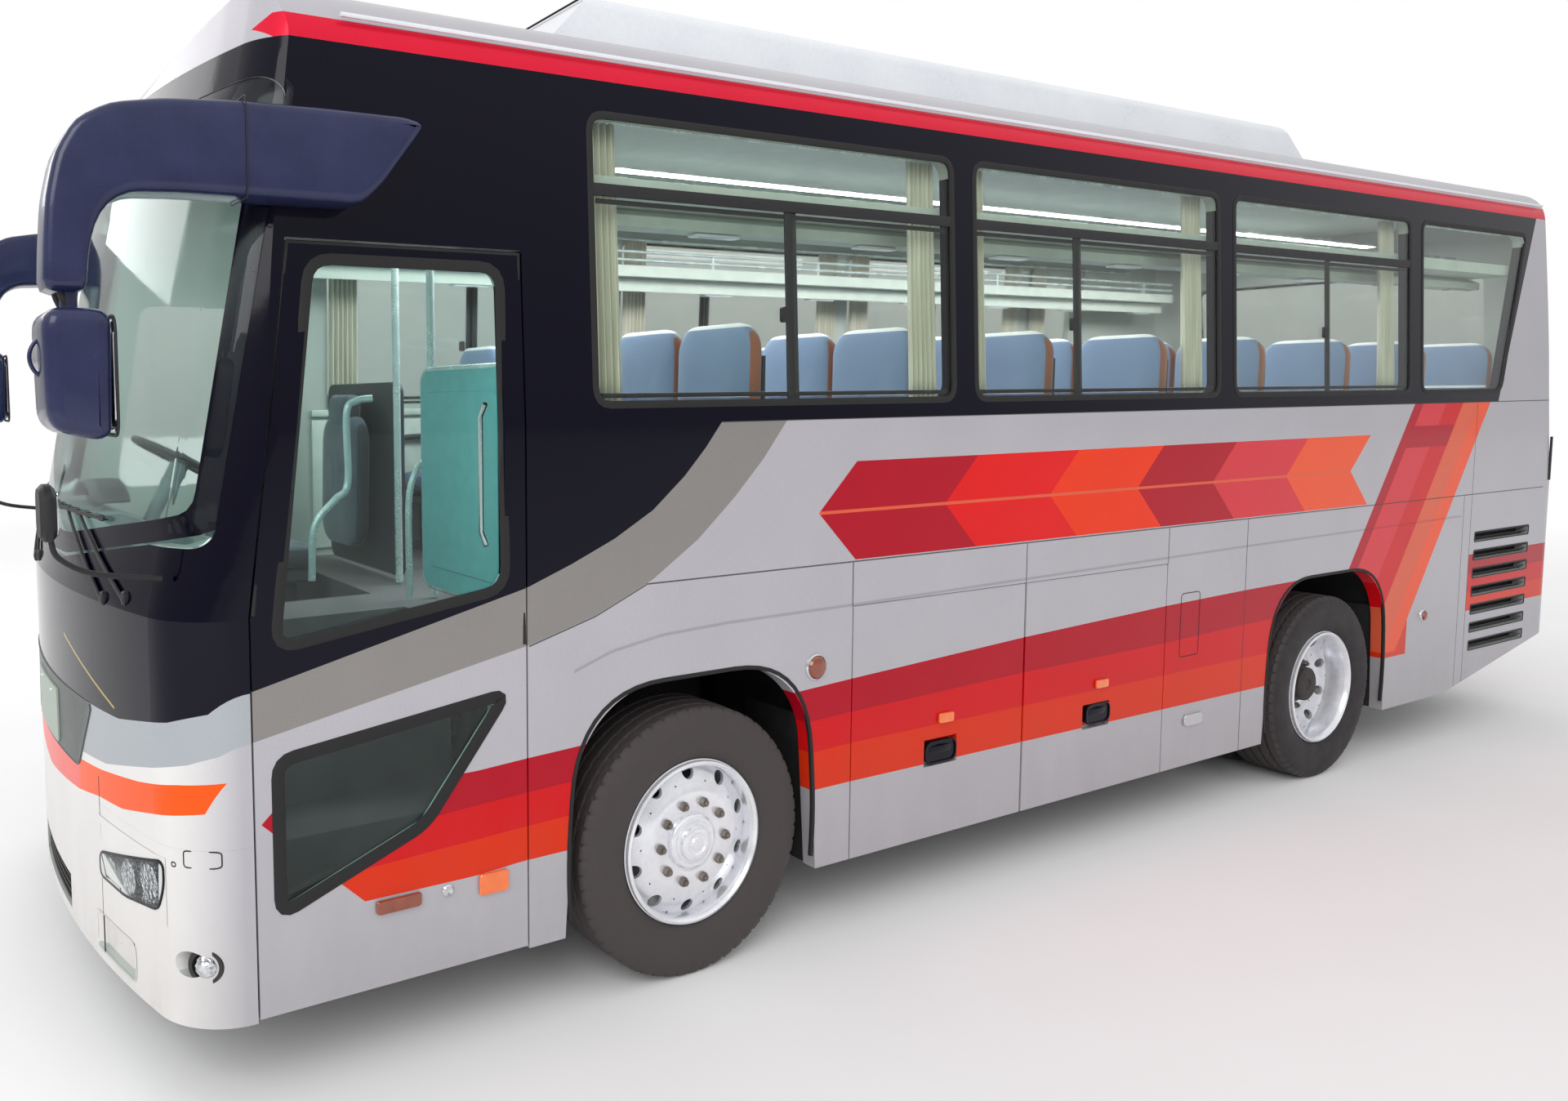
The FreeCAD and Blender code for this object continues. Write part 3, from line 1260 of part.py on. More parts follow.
frontTyre = keep("front_tyre_left", wheelBody("FrontTyre", "frontAxle", [tyreOutline("trackHalf")]))
frontRim = keep("front_rim_left", wheelBody("FrontRim", "frontAxle", [
    rimOutline("trackHalf"), discOutline("trackHalf", "frontDisc", "+"),
    hubOutline("forkWeb + forkThickness + forkGap", "frontDisc", "hubFace", "spindleRadius + pinGap"),
], drilled=True))
keep("front_tyre_right", mirrored("frontTyreRight", frontTyre))
keep("front_rim_right", mirrored("frontRimRight", frontRim))
rearTyres = keep("rear_tyres_left", gather("rearTyres", *[
    wheelBody(name, "rearAxle", [tyreOutline(centre)])
    for name, centre in (("OuterTyre", "trackHalf"), ("InnerTyre", "twinInner"))]))
rearRims = keep("rear_rims_left", wheelBody("RearRims", "rearAxle", [
    rimOutline("trackHalf"), discOutline("trackHalf", "twinDisc", "-"),
    discOutline("twinInner", "twinDisc", "+"), rimOutline("twinInner"),
    hubOutline("twinInner - rimWidth / 2", "twinDisc + 2 * discThickness", "trackHalf + tyreWidth / 4",
               "axleEndRadius + pinGap"),
], drilled=True))
keep("rear_tyres_right", mirrored("rearTyresRight", rearTyres))
keep("rear_rims_right", mirrored("rearRimsRight", rearRims))

# Engine: one plain block at the tail, carried between the rails
engineX = "railOffset - railWidth - skinGap"
engineFoot = "skirtHeight + engineFootHeight"
keep("engine_block", block("engineBlock", (f"-({engineX})", engineX),
                           ("engineBack - engineLength", "engineBack"),
                           (engineFoot, f"{engineFoot} + engineHeight")))


# Seats: side outline of a cushion and a reclined back, one solid for each pair

def seatForm(name, xs, place, base):
    return prism(name, "yz", [
        (place, base),
        (f"{place} + seatDepth", base),
        (f"{place} + seatDepth", f"{base} + seatHeight / 2"),
        (f"{place} + seatDepth + 2 * seatThickness", f"{base} + seatBackHeight"),
        (f"{place} + seatDepth + seatThickness", f"{base} + seatBackHeight"),
        (f"{place} + seatDepth - seatThickness", f"{base} + seatHeight"),
        (place, f"{base} + seatHeight"),
    ], *xs)


seats = []
emergencyRow = int((s.emergencyStart - s.seatFront) / s.seatPitch)
for side, left in (("left", True), ("right", False)):
    xs = spans("innerHalf - seatWallGap - seatWidth", "innerHalf - seatWallGap", left)
    for row in range(int(s.seatRowCount)):
        # the row beside the emergency door is left out on that side
        if left or row != emergencyRow:
            seats.append(seatForm(f"{side}Seat{row + 1}", xs, f"seatFront + {row} * seatPitch",
                                  "floorHeight"))
keep("passenger_seats", gather("passengerSeats", *seats))
DRIVER_SEAT_X = ("-driverOffset - driverSeatWidth / 2", "driverSeatWidth / 2 - driverOffset")
keep("driver_seat", seatForm("driverSeat", DRIVER_SEAT_X, "riserY - overrunLength - seatDepth", "cabFloor"))

# Luggage racks along both sides under the roof
keep("luggage_racks", gather("luggageRacks", *[
    common(f"{side}Rack", cabinForm,
           block(f"{side}RackForm", spans("innerHalf - rackWidth", "innerHalf", left),
                                           ("riserY", "tailSplit - rackWidth"),
                                           ("rackFoot", "rackFoot + rackThickness")))
    for side, left in (("left", True), ("right", False))]))


# Dashboard across the nose, deeper round the instruments, with the steering column

def dashForm(name, depth, start, end):
    return prism(name, "yz", [
        ("noseY", "dashFoot"),
        (f"noseY + wallThickness + {depth}", "dashFoot"),
        (f"noseY + wallThickness + {depth}", "dashTop - dashSlopeHeight"),
        (f"noseY + wallThickness + {depth} / 2", "dashTop"),
        ("noseY", "dashTop"),
    ], start, end)


def alongColumn(item, reach):
    """Stands a piece on the steering column's line, the reach below the wheel's middle."""
    item.Placement = FreeCAD.Placement(Vector(), Rotation(Vector(-1, 0, 0), 1))
    bind(item, Placement_Rotation_Angle="columnAngle", Placement_Base_x="-driverOffset",
         Placement_Base_y=f"steeringY - sin(columnAngle) * ({reach})",
         Placement_Base_z=f"steeringZ - cos(columnAngle) * ({reach})")
    return item


column = rod("column", "z", ("0", "0", "0"), "columnRadius", "columnLength")
dashParts = fuse("dashParts", dashForm("dashShelf", "dashDepth", *INSIDE_X), dashForm(
    "binnacle", "binnacleDepth", "-driverOffset - binnacleWidth / 2", "binnacleWidth / 2 - driverOffset"))
keep("dashboard",
     fuse("dashboard", common("dashInside", dashParts, cabinForm), alongColumn(column, "columnReach")))

# Steering wheel: rim, boss and four spokes
rimRing = doc.addObject("Part::Torus", "steeringRim")
bind(rimRing, Radius1="steeringRadius - gripRadius", Radius2="gripRadius")
wheelParts = [rimRing, rod("steeringBoss", "z", ("0", "0", "-gripRadius"), "bossRadius", "2 * gripRadius")]
for name, xs, ys in (("spokeAcross", ("gripRadius - steeringRadius", "steeringRadius - gripRadius"),
                      ("-gripRadius / 2", "gripRadius / 2")),
                     ("spokeAlong", ("-gripRadius / 2", "gripRadius / 2"),
                      ("gripRadius - steeringRadius", "steeringRadius - gripRadius"))):
    wheelParts.append(block(name, xs, ys, ("-gripRadius / 2", "gripRadius / 2")))
keep("steering_wheel", alongColumn(fuse("steeringWheel", *wheelParts), "0"))

doc.recompute()
for item in doc.Objects:
    if "Invalid" in item.State or "Error" in item.State:
        raise RuntimeError(f"{item.Name} failed: {item.State}")
os.makedirs("parts", exist_ok=True)
for item in pieces:
    shape = item.Shape
    if shape.isNull() or not shape.isValid() or not shape.Solids:
        raise RuntimeError(f"{item.Label} is not a valid solid")
    print(f"{item.Label:24s} solids {len(shape.Solids):2d} faces {len(shape.Faces)}")
    shape.exportStep(f"parts/{item.Label}.step")
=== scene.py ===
import math

import bmesh
import bpy
import numpy as np
from mathutils import Matrix, Vector


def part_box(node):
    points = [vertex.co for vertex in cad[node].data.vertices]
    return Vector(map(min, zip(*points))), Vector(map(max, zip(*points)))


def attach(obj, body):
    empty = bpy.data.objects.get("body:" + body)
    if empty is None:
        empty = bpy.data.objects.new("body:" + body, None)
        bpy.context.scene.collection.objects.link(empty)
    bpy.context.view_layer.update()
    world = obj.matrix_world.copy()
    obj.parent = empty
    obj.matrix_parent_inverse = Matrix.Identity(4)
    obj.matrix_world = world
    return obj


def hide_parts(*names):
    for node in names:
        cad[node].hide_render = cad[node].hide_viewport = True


# Coach bus: x runs to its left, y to its rear, z up, in metres
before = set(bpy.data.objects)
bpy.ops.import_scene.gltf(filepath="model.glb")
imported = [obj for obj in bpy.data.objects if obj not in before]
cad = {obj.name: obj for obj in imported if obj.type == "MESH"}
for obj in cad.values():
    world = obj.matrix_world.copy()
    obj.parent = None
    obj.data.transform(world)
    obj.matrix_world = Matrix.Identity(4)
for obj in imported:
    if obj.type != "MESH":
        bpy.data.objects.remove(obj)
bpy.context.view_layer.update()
scene = bpy.context.scene
sides = {"left": 1, "right": -1}
frontAxle, rearAxle, axleHeight = -2.43, 1.77, 0.485
flank = {"half": 1.245, "belt": 1.967, "lean": 0.04545}


# Shader graphs

class Wire:
    # a node's output to reckon with: a comparison gives 0 or 1, & multiplies and | takes the greater
    def __init__(self, graph, socket):
        self.graph, self.socket = graph, socket

    def __abs__(self):
        return self.graph.math("ABSOLUTE", self)


for method, operation in {"add": "ADD", "sub": "SUBTRACT", "mul": "MULTIPLY", "truediv": "DIVIDE", "pow": "POWER",
                          "gt": "GREATER_THAN", "lt": "LESS_THAN", "and": "MULTIPLY", "or": "MAXIMUM"}.items():
    setattr(Wire, f"__{method}__", lambda self, other, operation=operation: self.graph.math(operation, self, other))
for method, operation in {"radd": "ADD", "rsub": "SUBTRACT", "rmul": "MULTIPLY"}.items():
    setattr(Wire, f"__{method}__", lambda self, other, operation=operation: self.graph.math(operation, other, self))


class Graph:
    # puts shader nodes into one tree and wires them; every call gives back an output
    def __init__(self, tree):
        self.tree = tree

    def put(self, kind, feeds=None, out=0, **settings):
        node = self.tree.nodes.new("ShaderNode" + kind)
        for key, value in settings.items():
            setattr(node, key, value)
        for key, value in (feeds or {}).items():
            self.feed(node.inputs[key], value)
        return Wire(self, node.outputs[out])

    def feed(self, socket, value):
        if isinstance(value, Wire):
            self.tree.links.new(value.socket, socket)
        else:
            socket.default_value = value

    def outputs(self, node):
        return {socket.name: Wire(self, socket) for socket in node.outputs}

    def math(self, operation, *values, clamp=False):
        return self.put("Math", dict(enumerate(values)), operation=operation, use_clamp=clamp)

    def between(self, value, low, high):
        return (value > low) & (value < high)

    def mix(self, share, first, second):
        return self.put("Mix", {0: share, 6: first, 7: second}, out=2, data_type="RGBA")

    def noise(self, vector, scale, detail=3, roughness=0.6):
        return self.put("TexNoise", {"Vector": vector, "Scale": scale, "Detail": detail, "Roughness": roughness})

    def scaled(self, vector, x, y, z):
        return self.put("Mapping", {"Vector": vector, "Scale": (x, y, z)})

    def ramp(self, value, low, high, first=0.0, last=1.0):
        return self.put("MapRange", {0: value, 1: low, 2: high, 3: first, 4: last})

    def bump(self, height, strength, distance, under=None):
        feeds = {"Height": height, "Strength": strength, "Distance": distance}
        if under:
            feeds["Normal"] = under
        return self.put("Bump", feeds)

    def split(self, vector):
        node = self.tree.nodes.new("ShaderNodeSeparateXYZ")
        self.feed(node.inputs[0], vector)
        return list(self.outputs(node).values())

    def edge(self, value, points):
        # a drawn line: gives its height above a place along it
        places, heights = zip(*points)
        node = self.tree.nodes.new("ShaderNodeFloatCurve")
        curve = node.mapping.curves[0]
        lowest, highest = min(heights), max(heights)
        rise = max(highest - lowest, 0.001)
        while len(curve.points) < len(points):
            curve.points.new(0.5, 0.5)
        for point, place, height in zip(curve.points, places, heights):
            point.location = ((place - places[0]) / (places[-1] - places[0]), (height - lowest) / rise)
            point.handle_type = "VECTOR"
        node.mapping.extend = "HORIZONTAL"
        node.mapping.update()
        self.feed(node.inputs["Value"], self.ramp(value, places[0], places[-1]))
        return self.ramp(Wire(self, node.outputs[0]), 0.0, 1.0, lowest, highest)


def shaded(colour):
    # a colour as seen on a screen, 0 to 255, as the linear values of a shader
    values = [part / 255 for part in colour]
    return (*[v / 12.92 if v < 0.04045 else ((v + 0.055) / 1.055) ** 2.4 for v in values], 1.0)


def makeGroup(name, inputs, outputs, build):
    tree = bpy.data.node_groups.new(name, "ShaderNodeTree")
    for label, kind, start in inputs:
        socket = tree.interface.new_socket(label, in_out="INPUT", socket_type="NodeSocket" + kind)
        if start is not None:
            socket.default_value = start
    for label, kind in outputs:
        tree.interface.new_socket(label, in_out="OUTPUT", socket_type="NodeSocket" + kind)
    graph = Graph(tree)
    entry = tree.nodes.new("NodeGroupInput")
    leave = tree.nodes.new("NodeGroupOutput")
    for label, value in build(graph, graph.outputs(entry)).items():
        graph.feed(leave.inputs[label], value)
    return tree


def useGroup(graph, tree, feeds):
    node = graph.tree.nodes.new("ShaderNodeGroup")
    node.node_tree = tree
    for key, value in feeds.items():
        graph.feed(node.inputs[key], value)
    return graph.outputs(node)


def makeMaterial(name, build, **constants):
    # one Principled shader: build feeds the sockets that change, the constants are set on it
    material = bpy.data.materials.new(name)
    material.use_nodes = True
    material.node_tree.nodes.clear()
    graph = Graph(material.node_tree)
    shader = material.node_tree.nodes.new("ShaderNodeBsdfPrincipled")
    for key, value in constants.items():
        shader.inputs[key.replace("_", " ")].default_value = value
    place = graph.put("TexCoord", out="Object")
    for key, value in build(graph, place).items():
        graph.feed(shader.inputs[key], value)
    leave = material.node_tree.nodes.new("ShaderNodeOutputMaterial")
    material.node_tree.links.new(shader.outputs[0], leave.inputs["Surface"])
    return material


# Livery: lines along the side as (y, z) and across the nose as (x, z), colours as seen on a screen
livery = {
    "silver": (180, 178, 184),
    "champagne": (138, 134, 131),
    "black": (2, 1, 20),
    "crimson": (172, 0, 30),
    "red": (204, 6, 18),
    "orange": (214, 44, 2),
    "arrowRed": (220, 12, 14),
    "arrowOrange": (232, 52, 4),
    "arrowSalmon": (234, 84, 44),
    "slantRed": (210, 50, 60),
    "slantOrange": (218, 92, 62),
    "roofStripe": (214, 20, 52),
    "noseOrange": (246, 84, 8),
    "noseSalmon": (236, 92, 84),
    "gold": (176, 150, 70),
    "garnish": (166, 171, 176),
    # painted highlight: the flank's silver as it looks where the light falls on the front of the nose
    "noseLitSilver": (226, 224, 222),
    "bandTop": [(-4.05, 0.9), (-3.31, 0.9), (-3.13, 0.91), (-2.9, 0.92), (-1.71, 0.983), (-0.69, 1.031),
                (0.31, 1.065), (0.95, 1.079), (2.6, 1.1)],
    "crimsonFoot": [(-4.05, 0.745), (-3.33, 0.789), (-3.15, 0.797), (-1.71, 0.855), (-0.69, 0.88),
                    (0.31, 0.891), (0.95, 0.908), (2.6, 0.93)],
    "redFoot": [(-4.05, 0.65), (-3.33, 0.68), (-3.15, 0.687), (-1.71, 0.735), (2.6, 0.744)],
    "orangeFoot": [(-4.05, 0.568), (-3.33, 0.564), (-3.15, 0.575), (-1.71, 0.585), (2.6, 0.57)],
    "swooshTop": [(-4.04, 1.242), (-3.128, 1.459), (-2.959, 1.521), (-2.79, 1.592), (-2.633, 1.678),
                  (-2.5, 1.787), (-2.41, 1.88), (-2.337, 1.97)],
    "swooshFoot": [(-4.04, 1.098), (-3.12, 1.275), (-2.864, 1.346), (-2.632, 1.444), (-2.44, 1.567),
                   (-2.279, 1.704), (-2.15, 1.832), (-2.037, 1.97)],
    "pressedLine": [(-2.95, 1.168), (-2.8, 1.218), (-2.59, 1.25), (-2.3, 1.262), (-1.713, 1.266), (-0.3, 1.282),
                    (0.95, 1.296), (3.15, 1.31)],
    "noseSilverTop": [(0.0, 1.108), (0.665, 1.108), (0.85, 1.112), (1.13, 1.16), (1.216, 1.191), (1.245, 1.242)],
    "noseSilverFoot": [(0.0, 0.87), (0.44, 0.905), (0.524, 0.928), (0.741, 0.945), (1.051, 1.013),
                       (1.179, 1.045), (1.228, 1.07), (1.245, 1.098)],
    "noseOrangeTop": [(0.0, 0.86), (0.44, 0.888), (0.513, 0.898), (0.696, 0.915), (0.974, 0.952),
                      (1.151, 0.985), (1.233, 0.994)],
    "noseOrangeFoot": [(0.0, 0.745), (0.462, 0.787), (0.671, 0.822), (0.855, 0.836), (1.068, 0.881), (1.208, 0.907)],
}
tone = {name: shaded(value) for name, value in livery.items() if isinstance(value, tuple)}


def drawSide(g, entry):
    # stripes of the flank in paint order: each mask lays a colour over what is under it
    x, y, z = g.split(entry["Place"])
    colour = tone["silver"]
    arrow = y - abs(z - 0.86) * 1.06
    body = (z < g.edge(y, livery["bandTop"])) & (z > g.edge(y, livery["orangeFoot"])) & (arrow > -4.007) & (y < 2.6)
    stripe = g.mix(z > g.edge(y, livery["redFoot"]), tone["orange"], tone["red"])
    stripe = g.mix(z > g.edge(y, livery["crimsonFoot"]), stripe, tone["crimson"])
    colour = g.mix(body, colour, stripe)

    tail = g.between(z, 0.741, 1.075) & (y > 3.3)
    stripe = g.mix(z > 0.85, tone["orange"], tone["red"])
    stripe = g.mix(z > 0.96, stripe, tone["crimson"])
    colour = g.mix(tail, colour, stripe)

    # the ribbon: chevron colours along t, which runs back from its middle line
    off = abs(z - 1.622)
    t = y - off * 1.03
    ribbon = (off < 0.185) & g.between(t, -1.88, 1.9)
    stripe = tone["crimson"]
    for start, name in [(-1.205, "arrowRed"), (-0.561, "arrowOrange"), (0.051, "crimson"), (0.64, "slantRed"),
                        (1.278, "arrowSalmon")]:
        stripe = g.mix(t > start, stripe, tone[name])
    stripe = g.mix(off < 0.006, stripe, tone["slantOrange"])
    colour = g.mix(ribbon, colour, stripe)

    # the slanting sash: s runs along y at the height where z is 1.94
    s = y + (1.94 - z) * 0.715
    sash = g.between(s, 2.535, 3.44) & (z > 0.6) & (z < 1.98)
    stripe = tone["crimson"]
    for start, name in [(2.631, "slantRed"), (2.9, "red"), (3.1, "slantOrange"), (3.3, "arrowSalmon")]:
        stripe = g.mix(s > start, stripe, tone[name])
    stripe = g.mix(g.between(z, 1.725, 1.843) & g.between(s, 2.57, 3.1), stripe, tone["crimson"])
    colour = g.mix(sash, colour, stripe)

    high = g.edge(y, livery["swooshTop"])
    low = g.edge(y, livery["swooshFoot"])
    champagne = (z > low) & (y < -2.037) & (z < 1.968)
    colour = g.mix(champagne, colour, tone["champagne"])
    panel = (z > high) & (y < -2.337)
    rear = 3.562 + (z - 1.974) * 0.45
    band = (z > flank["belt"]) & (y < rear)
    black = (panel | band) & (z < 3.067)
    colour = g.mix(black, colour, tone["black"])
    end = -3.93 + abs(z - 3.1) * 1.2
    roof = g.between(z, 3.067, 3.136) & (y > end)
    colour = g.mix(roof, colour, tone["roofStripe"])
    return {"Color": colour, "Gloss": black, "Silver": 1.0 - (body | tail | ribbon | sash | black)}


def drawNose(g, entry):
    # bands of the nose, the same on both halves
    x, y, z = g.split(entry["Place"])
    off = abs(x)
    high = g.edge(off, livery["noseSilverTop"])
    low = g.edge(off, livery["noseSilverFoot"])
    # round the corner the silver turns paler towards the front: a painted highlight of the lit front face
    colour = g.mix(g.ramp(y, -4.06, -4.24), tone["silver"], tone["noseLitSilver"])
    foot = g.edge(off, livery["noseOrangeFoot"])
    band = (z < g.edge(off, livery["noseOrangeTop"])) & (z > foot) & (off + (0.994 - z) * 0.3 < 1.234)
    stripe = g.mix(off < 0.48, tone["noseOrange"], tone["noseSalmon"])
    colour = g.mix(band, colour, stripe)
    champagne = (z > low) & (z < high)
    colour = g.mix(champagne, colour, tone["garnish"])
    black = (z > high) & (z < 3.067)
    colour = g.mix(black, colour, tone["black"])
    line = abs(z + off * 0.303 - 1.387)
    colour = g.mix((line < 0.004) & g.between(off, 0.336, 0.821) & black, colour, tone["gold"])
    stripe = g.between(z, 3.067, 3.136) & (off > 1.0)
    return {"Color": g.mix(stripe, colour, tone["roofStripe"]), "Gloss": black,
            "Silver": 1.0 - (band | black)}


def drawSeamsAndCreaseShade(g, entry):
    # narrow gaps between panels: 1 on the line, 0 off it; a fainter line along the pressed crease is painted shade
    x, y, z = g.split(entry["Place"])
    gap = 0.0028
    lines = []
    for at, low, high in [(-1.7, 1.262, 1.43), (-0.695, 1.262, 1.43), (0.31, 1.262, 1.43), (0.958, 0.28, 1.43),
                          (3.204, 0.3, 1.43), (3.3, 0.28, flank["belt"])]:
        near = abs(y - at) < gap
        lines.append(near & g.between(z, low, high))
    flat = abs(z - 1.43) < gap
    lines.append(flat & g.between(y, -2.66, 4.25))
    foot = g.edge(y, livery["swooshFoot"]) - 0.004
    foot = abs(z - foot) < gap
    lines.append(foot & g.between(y, -3.12, -2.66))
    sill = abs(z - flank["belt"]) < gap
    lines.append(sill & (y > -2.9))
    # painted shade: a soft dark line along the pressed crease, at about a third of a seam's strength
    creaseShade = z - g.edge(y, livery["pressedLine"])
    creaseShade = g.ramp(abs(creaseShade), 0.002, 0.008, 1.0, 0.0) & g.between(y, -2.95, 3.18)
    mask = lines.pop(0)
    for line in lines:
        mask = mask | line
    return {"Mask": mask | creaseShade * 0.34}


def spreadDust(g, entry):
    # road film: thick at the skirt and patchy upwards, with fine streaks running down
    x, y, z = g.split(entry["Place"])
    patch = g.noise(g.scaled(entry["Place"], 1.0, 1.0, 0.35), 7.0, 5, 0.65)
    rise = g.ramp(z, entry["Top"], 0.25) ** 1.6
    film = g.math("MULTIPLY", patch * rise, entry["Amount"], clamp=True)
    return {"Mask": film}


def layGrain(g, entry):
    # fine cast or moulded grain with slow changes of tone
    fine = g.noise(entry["Place"], entry["Scale"], 4, 0.6)
    slow = g.noise(entry["Place"], entry["Scale"] / 18.0, 3, 0.5)
    shade = fine * 0.4 + slow * 0.6
    return {"Tone": g.ramp(shade, 0.3, 0.7), "Height": fine}


def layWeave(g, entry):
    # plain weave: two crossed sets of threads, one over the other
    x, y, z = g.split(g.put("VectorMath", {0: entry["Place"], 3: entry["Scale"]}, operation="SCALE"))
    across = g.math("SINE", x + y)
    along = g.math("SINE", z + y * 0.5)
    height = (across * along + 1.0) * 0.5
    fluff = g.noise(entry["Place"], 30.0, 4, 0.7)
    return {"Tone": (height + fluff) * 0.5, "Height": height}


placeIn = ("Place", "Vector", None)
sideLivery = makeGroup("sideLivery", [placeIn], [("Color", "Color"), ("Gloss", "Float"), ("Silver", "Float")],
                       drawSide)
noseLivery = makeGroup("noseLivery", [placeIn], [("Color", "Color"), ("Gloss", "Float"), ("Silver", "Float")],
                       drawNose)
panelSeams = makeGroup("panelSeams", [placeIn], [("Mask", "Float")], drawSeamsAndCreaseShade)
roadDust = makeGroup("roadDust", [placeIn, ("Top", "Float", 1.0), ("Amount", "Float", 0.5)],
                     [("Mask", "Float")], spreadDust)
fineGrain = makeGroup("fineGrain", [placeIn, ("Scale", "Float", 200.0)],
                      [("Tone", "Float"), ("Height", "Float")], layGrain)
clothWeave = makeGroup("clothWeave", [placeIn, ("Scale", "Float", 900.0)],
                       [("Tone", "Float"), ("Height", "Float")], layWeave)


def coachPaint(name, drawing, seams=True):
    # lacquer over the livery: silver has a metal flake, black and the stripes are plain gloss;
    # faces that look in at the cabin wear its pale lining
    def build(g, place):
        x, y, z = g.split(place)
        out = g.put("CombineXYZ", {0: x, 1: y * 0.02, 2: z - 1.9})
        facing = g.put("VectorMath", {0: g.put("TexCoord", out="Normal"), 1: out}, out="Value",
                       operation="DOT_PRODUCT")
        inside = facing < -0.05
        marks = useGroup(g, drawing, {"Place": place})
        film = useGroup(g, roadDust, {"Place": place, "Top": 1.15, "Amount": 0.55})["Mask"]
        slow = g.noise(place, 3.0, 3, 0.5)
        flake = g.noise(place, 900.0, 2, 0.7)
        shade = g.ramp(slow * 0.7 + flake * 0.3, 0.3, 0.7, 0.965, 1.03)
        colour = g.put("VectorMath", {0: marks["Color"], 3: shade}, operation="SCALE")
        colour = g.mix(film * 0.55, colour, shaded((118, 108, 98)))
        ripple = g.bump(g.noise(place, 26.0, 2, 0.4), 0.05, 0.004)
        rough = g.ramp(flake, 0.3, 0.7, 0.24, 0.34)
        rough = rough * g.ramp(marks["Gloss"], 0.0, 1.0, 1.0, 0.35) + film * 0.35
        if seams:
            # dark seam lines, together with the painted shade along the pressed crease
            line = useGroup(g, panelSeams, {"Place": place})["Mask"]
            line = line & (1.0 - marks["Gloss"])
            colour = g.mix(line * 0.8, colour, shaded((44, 40, 44)))
            ripple = g.bump(1.0 - line, 0.5, 0.003, ripple)
        colour = g.mix(inside, colour, shaded((176, 182, 178)))
        rough = rough | inside * 0.6
        return {"Base Color": colour, "Roughness": rough, "Metallic": marks["Silver"] * 0.22,
                "Coat Weight": 0.2 - film * 0.2, "Normal": ripple}
    return makeMaterial(name, build, Coat_Roughness=0.06, Specular_IOR_Level=0.1)


def grainy(name, first, second, scale, depth, rough=(0.4, 0.6), metallic=0.0, dust=0.0, top=1.2, **constants):
    # a cast, moulded or brushed surface: two tones by grain, a fine bump, and road film low down
    def build(g, place):
        grain = useGroup(g, fineGrain, {"Place": place, "Scale": scale})
        colour = g.mix(grain["Tone"], shaded(first), shaded(second))
        roughness = g.ramp(grain["Tone"], 0.0, 1.0, rough[0], rough[1])
        if dust:
            film = useGroup(g, roadDust, {"Place": place, "Top": top, "Amount": dust})["Mask"]
            colour = g.mix(film, colour, shaded((104, 96, 88)))
            roughness = roughness + film * 0.3
        return {"Base Color": colour, "Roughness": roughness, "Normal": g.bump(grain["Height"], 0.6, depth)}
    return makeMaterial(name, build, Metallic=metallic, **constants)


def glassy(name, colour, tint, rough=0.02):
    # tinted glass: clear to shadow and scattered light, a faint film of wash marks on its gloss
    material = makeMaterial(name, lambda g, place: {
        "Roughness": g.ramp(g.noise(place, 9.0, 4, 0.6), 0.35, 0.75, rough, rough + 0.05),
        "Base Color": g.mix(g.ramp(g.noise(place, 4.0, 3, 0.5), 0.3, 0.7), shaded(colour), shaded(tint)),
    }, Transmission_Weight=1.0, IOR=1.2, Metallic=0.0, Specular_IOR_Level=0.9, Coat_Weight=0.25, Coat_Roughness=0.02)
    g = Graph(material.node_tree)
    leave = next(node for node in g.tree.nodes if node.type == "OUTPUT_MATERIAL")
    shader = Wire(g, leave.inputs["Surface"].links[0].from_socket)
    ray = g.put("LightPath", out="Is Shadow Ray")
    soft = g.put("LightPath", out="Is Diffuse Ray")
    clear = g.put("BsdfTransparent", {"Color": shaded(tint)})
    g.feed(leave.inputs["Surface"], g.put("MixShader", {0: ray | soft, 1: shader, 2: clear}))
    return material


print("materials of the shell")
paintSide = coachPaint("sidePaint", sideLivery)
paintNose = coachPaint("nosePaint", noseLivery, seams=False)
roofPaint = grainy("roofPaint", (214, 218, 224), (228, 231, 235), 60, 0.0006, (0.25, 0.4), Coat_Weight=0.5)
blackGloss = grainy("blackGloss", (6, 5, 18), (12, 10, 26), 120, 0.0004, (0.12, 0.22), Specular_IOR_Level=0.2)
blackTrim = grainy("blackTrim", (17, 16, 20), (28, 27, 31), 500, 0.0006, (0.45, 0.65), dust=0.3)
rubberSeal = grainy("rubberSeal", (15, 14, 16), (27, 26, 28), 380, 0.0008, (0.6, 0.8))
mirrorPaint = grainy("mirrorPaint", (30, 35, 66), (40, 46, 82), 160, 0.0005, (0.16, 0.28), Coat_Weight=0.25,
                     Specular_IOR_Level=0.3)
screenGlass = glassy("screenGlass", (228, 246, 242), (232, 248, 244))
windowGlass = glassy("windowGlass", (234, 240, 236), (240, 246, 241))
chrome = grainy("chrome", (196, 198, 202), (222, 222, 224), 90, 0.0004, (0.06, 0.16), metallic=1.0)
alloy = grainy("alloy", (222, 223, 230), (246, 247, 250), 40, 0.0006, (0.14, 0.3), metallic=0.55, dust=0.1, top=0.6)
nutMetal = grainy("nutMetal", (104, 98, 94), (150, 142, 134), 260, 0.001, (0.3, 0.5), metallic=0.85, dust=0.2)
tyreRubber = grainy("tyreRubber", (10, 8, 12), (18, 15, 21), 170, 0.0012, (0.62, 0.85), dust=0.06, top=1.1,
                    Specular_IOR_Level=0.12)
ironPaint = grainy("ironPaint", (26, 26, 28), (48, 46, 46), 70, 0.002, (0.5, 0.75), metallic=0.2, dust=0.6, top=1.4)
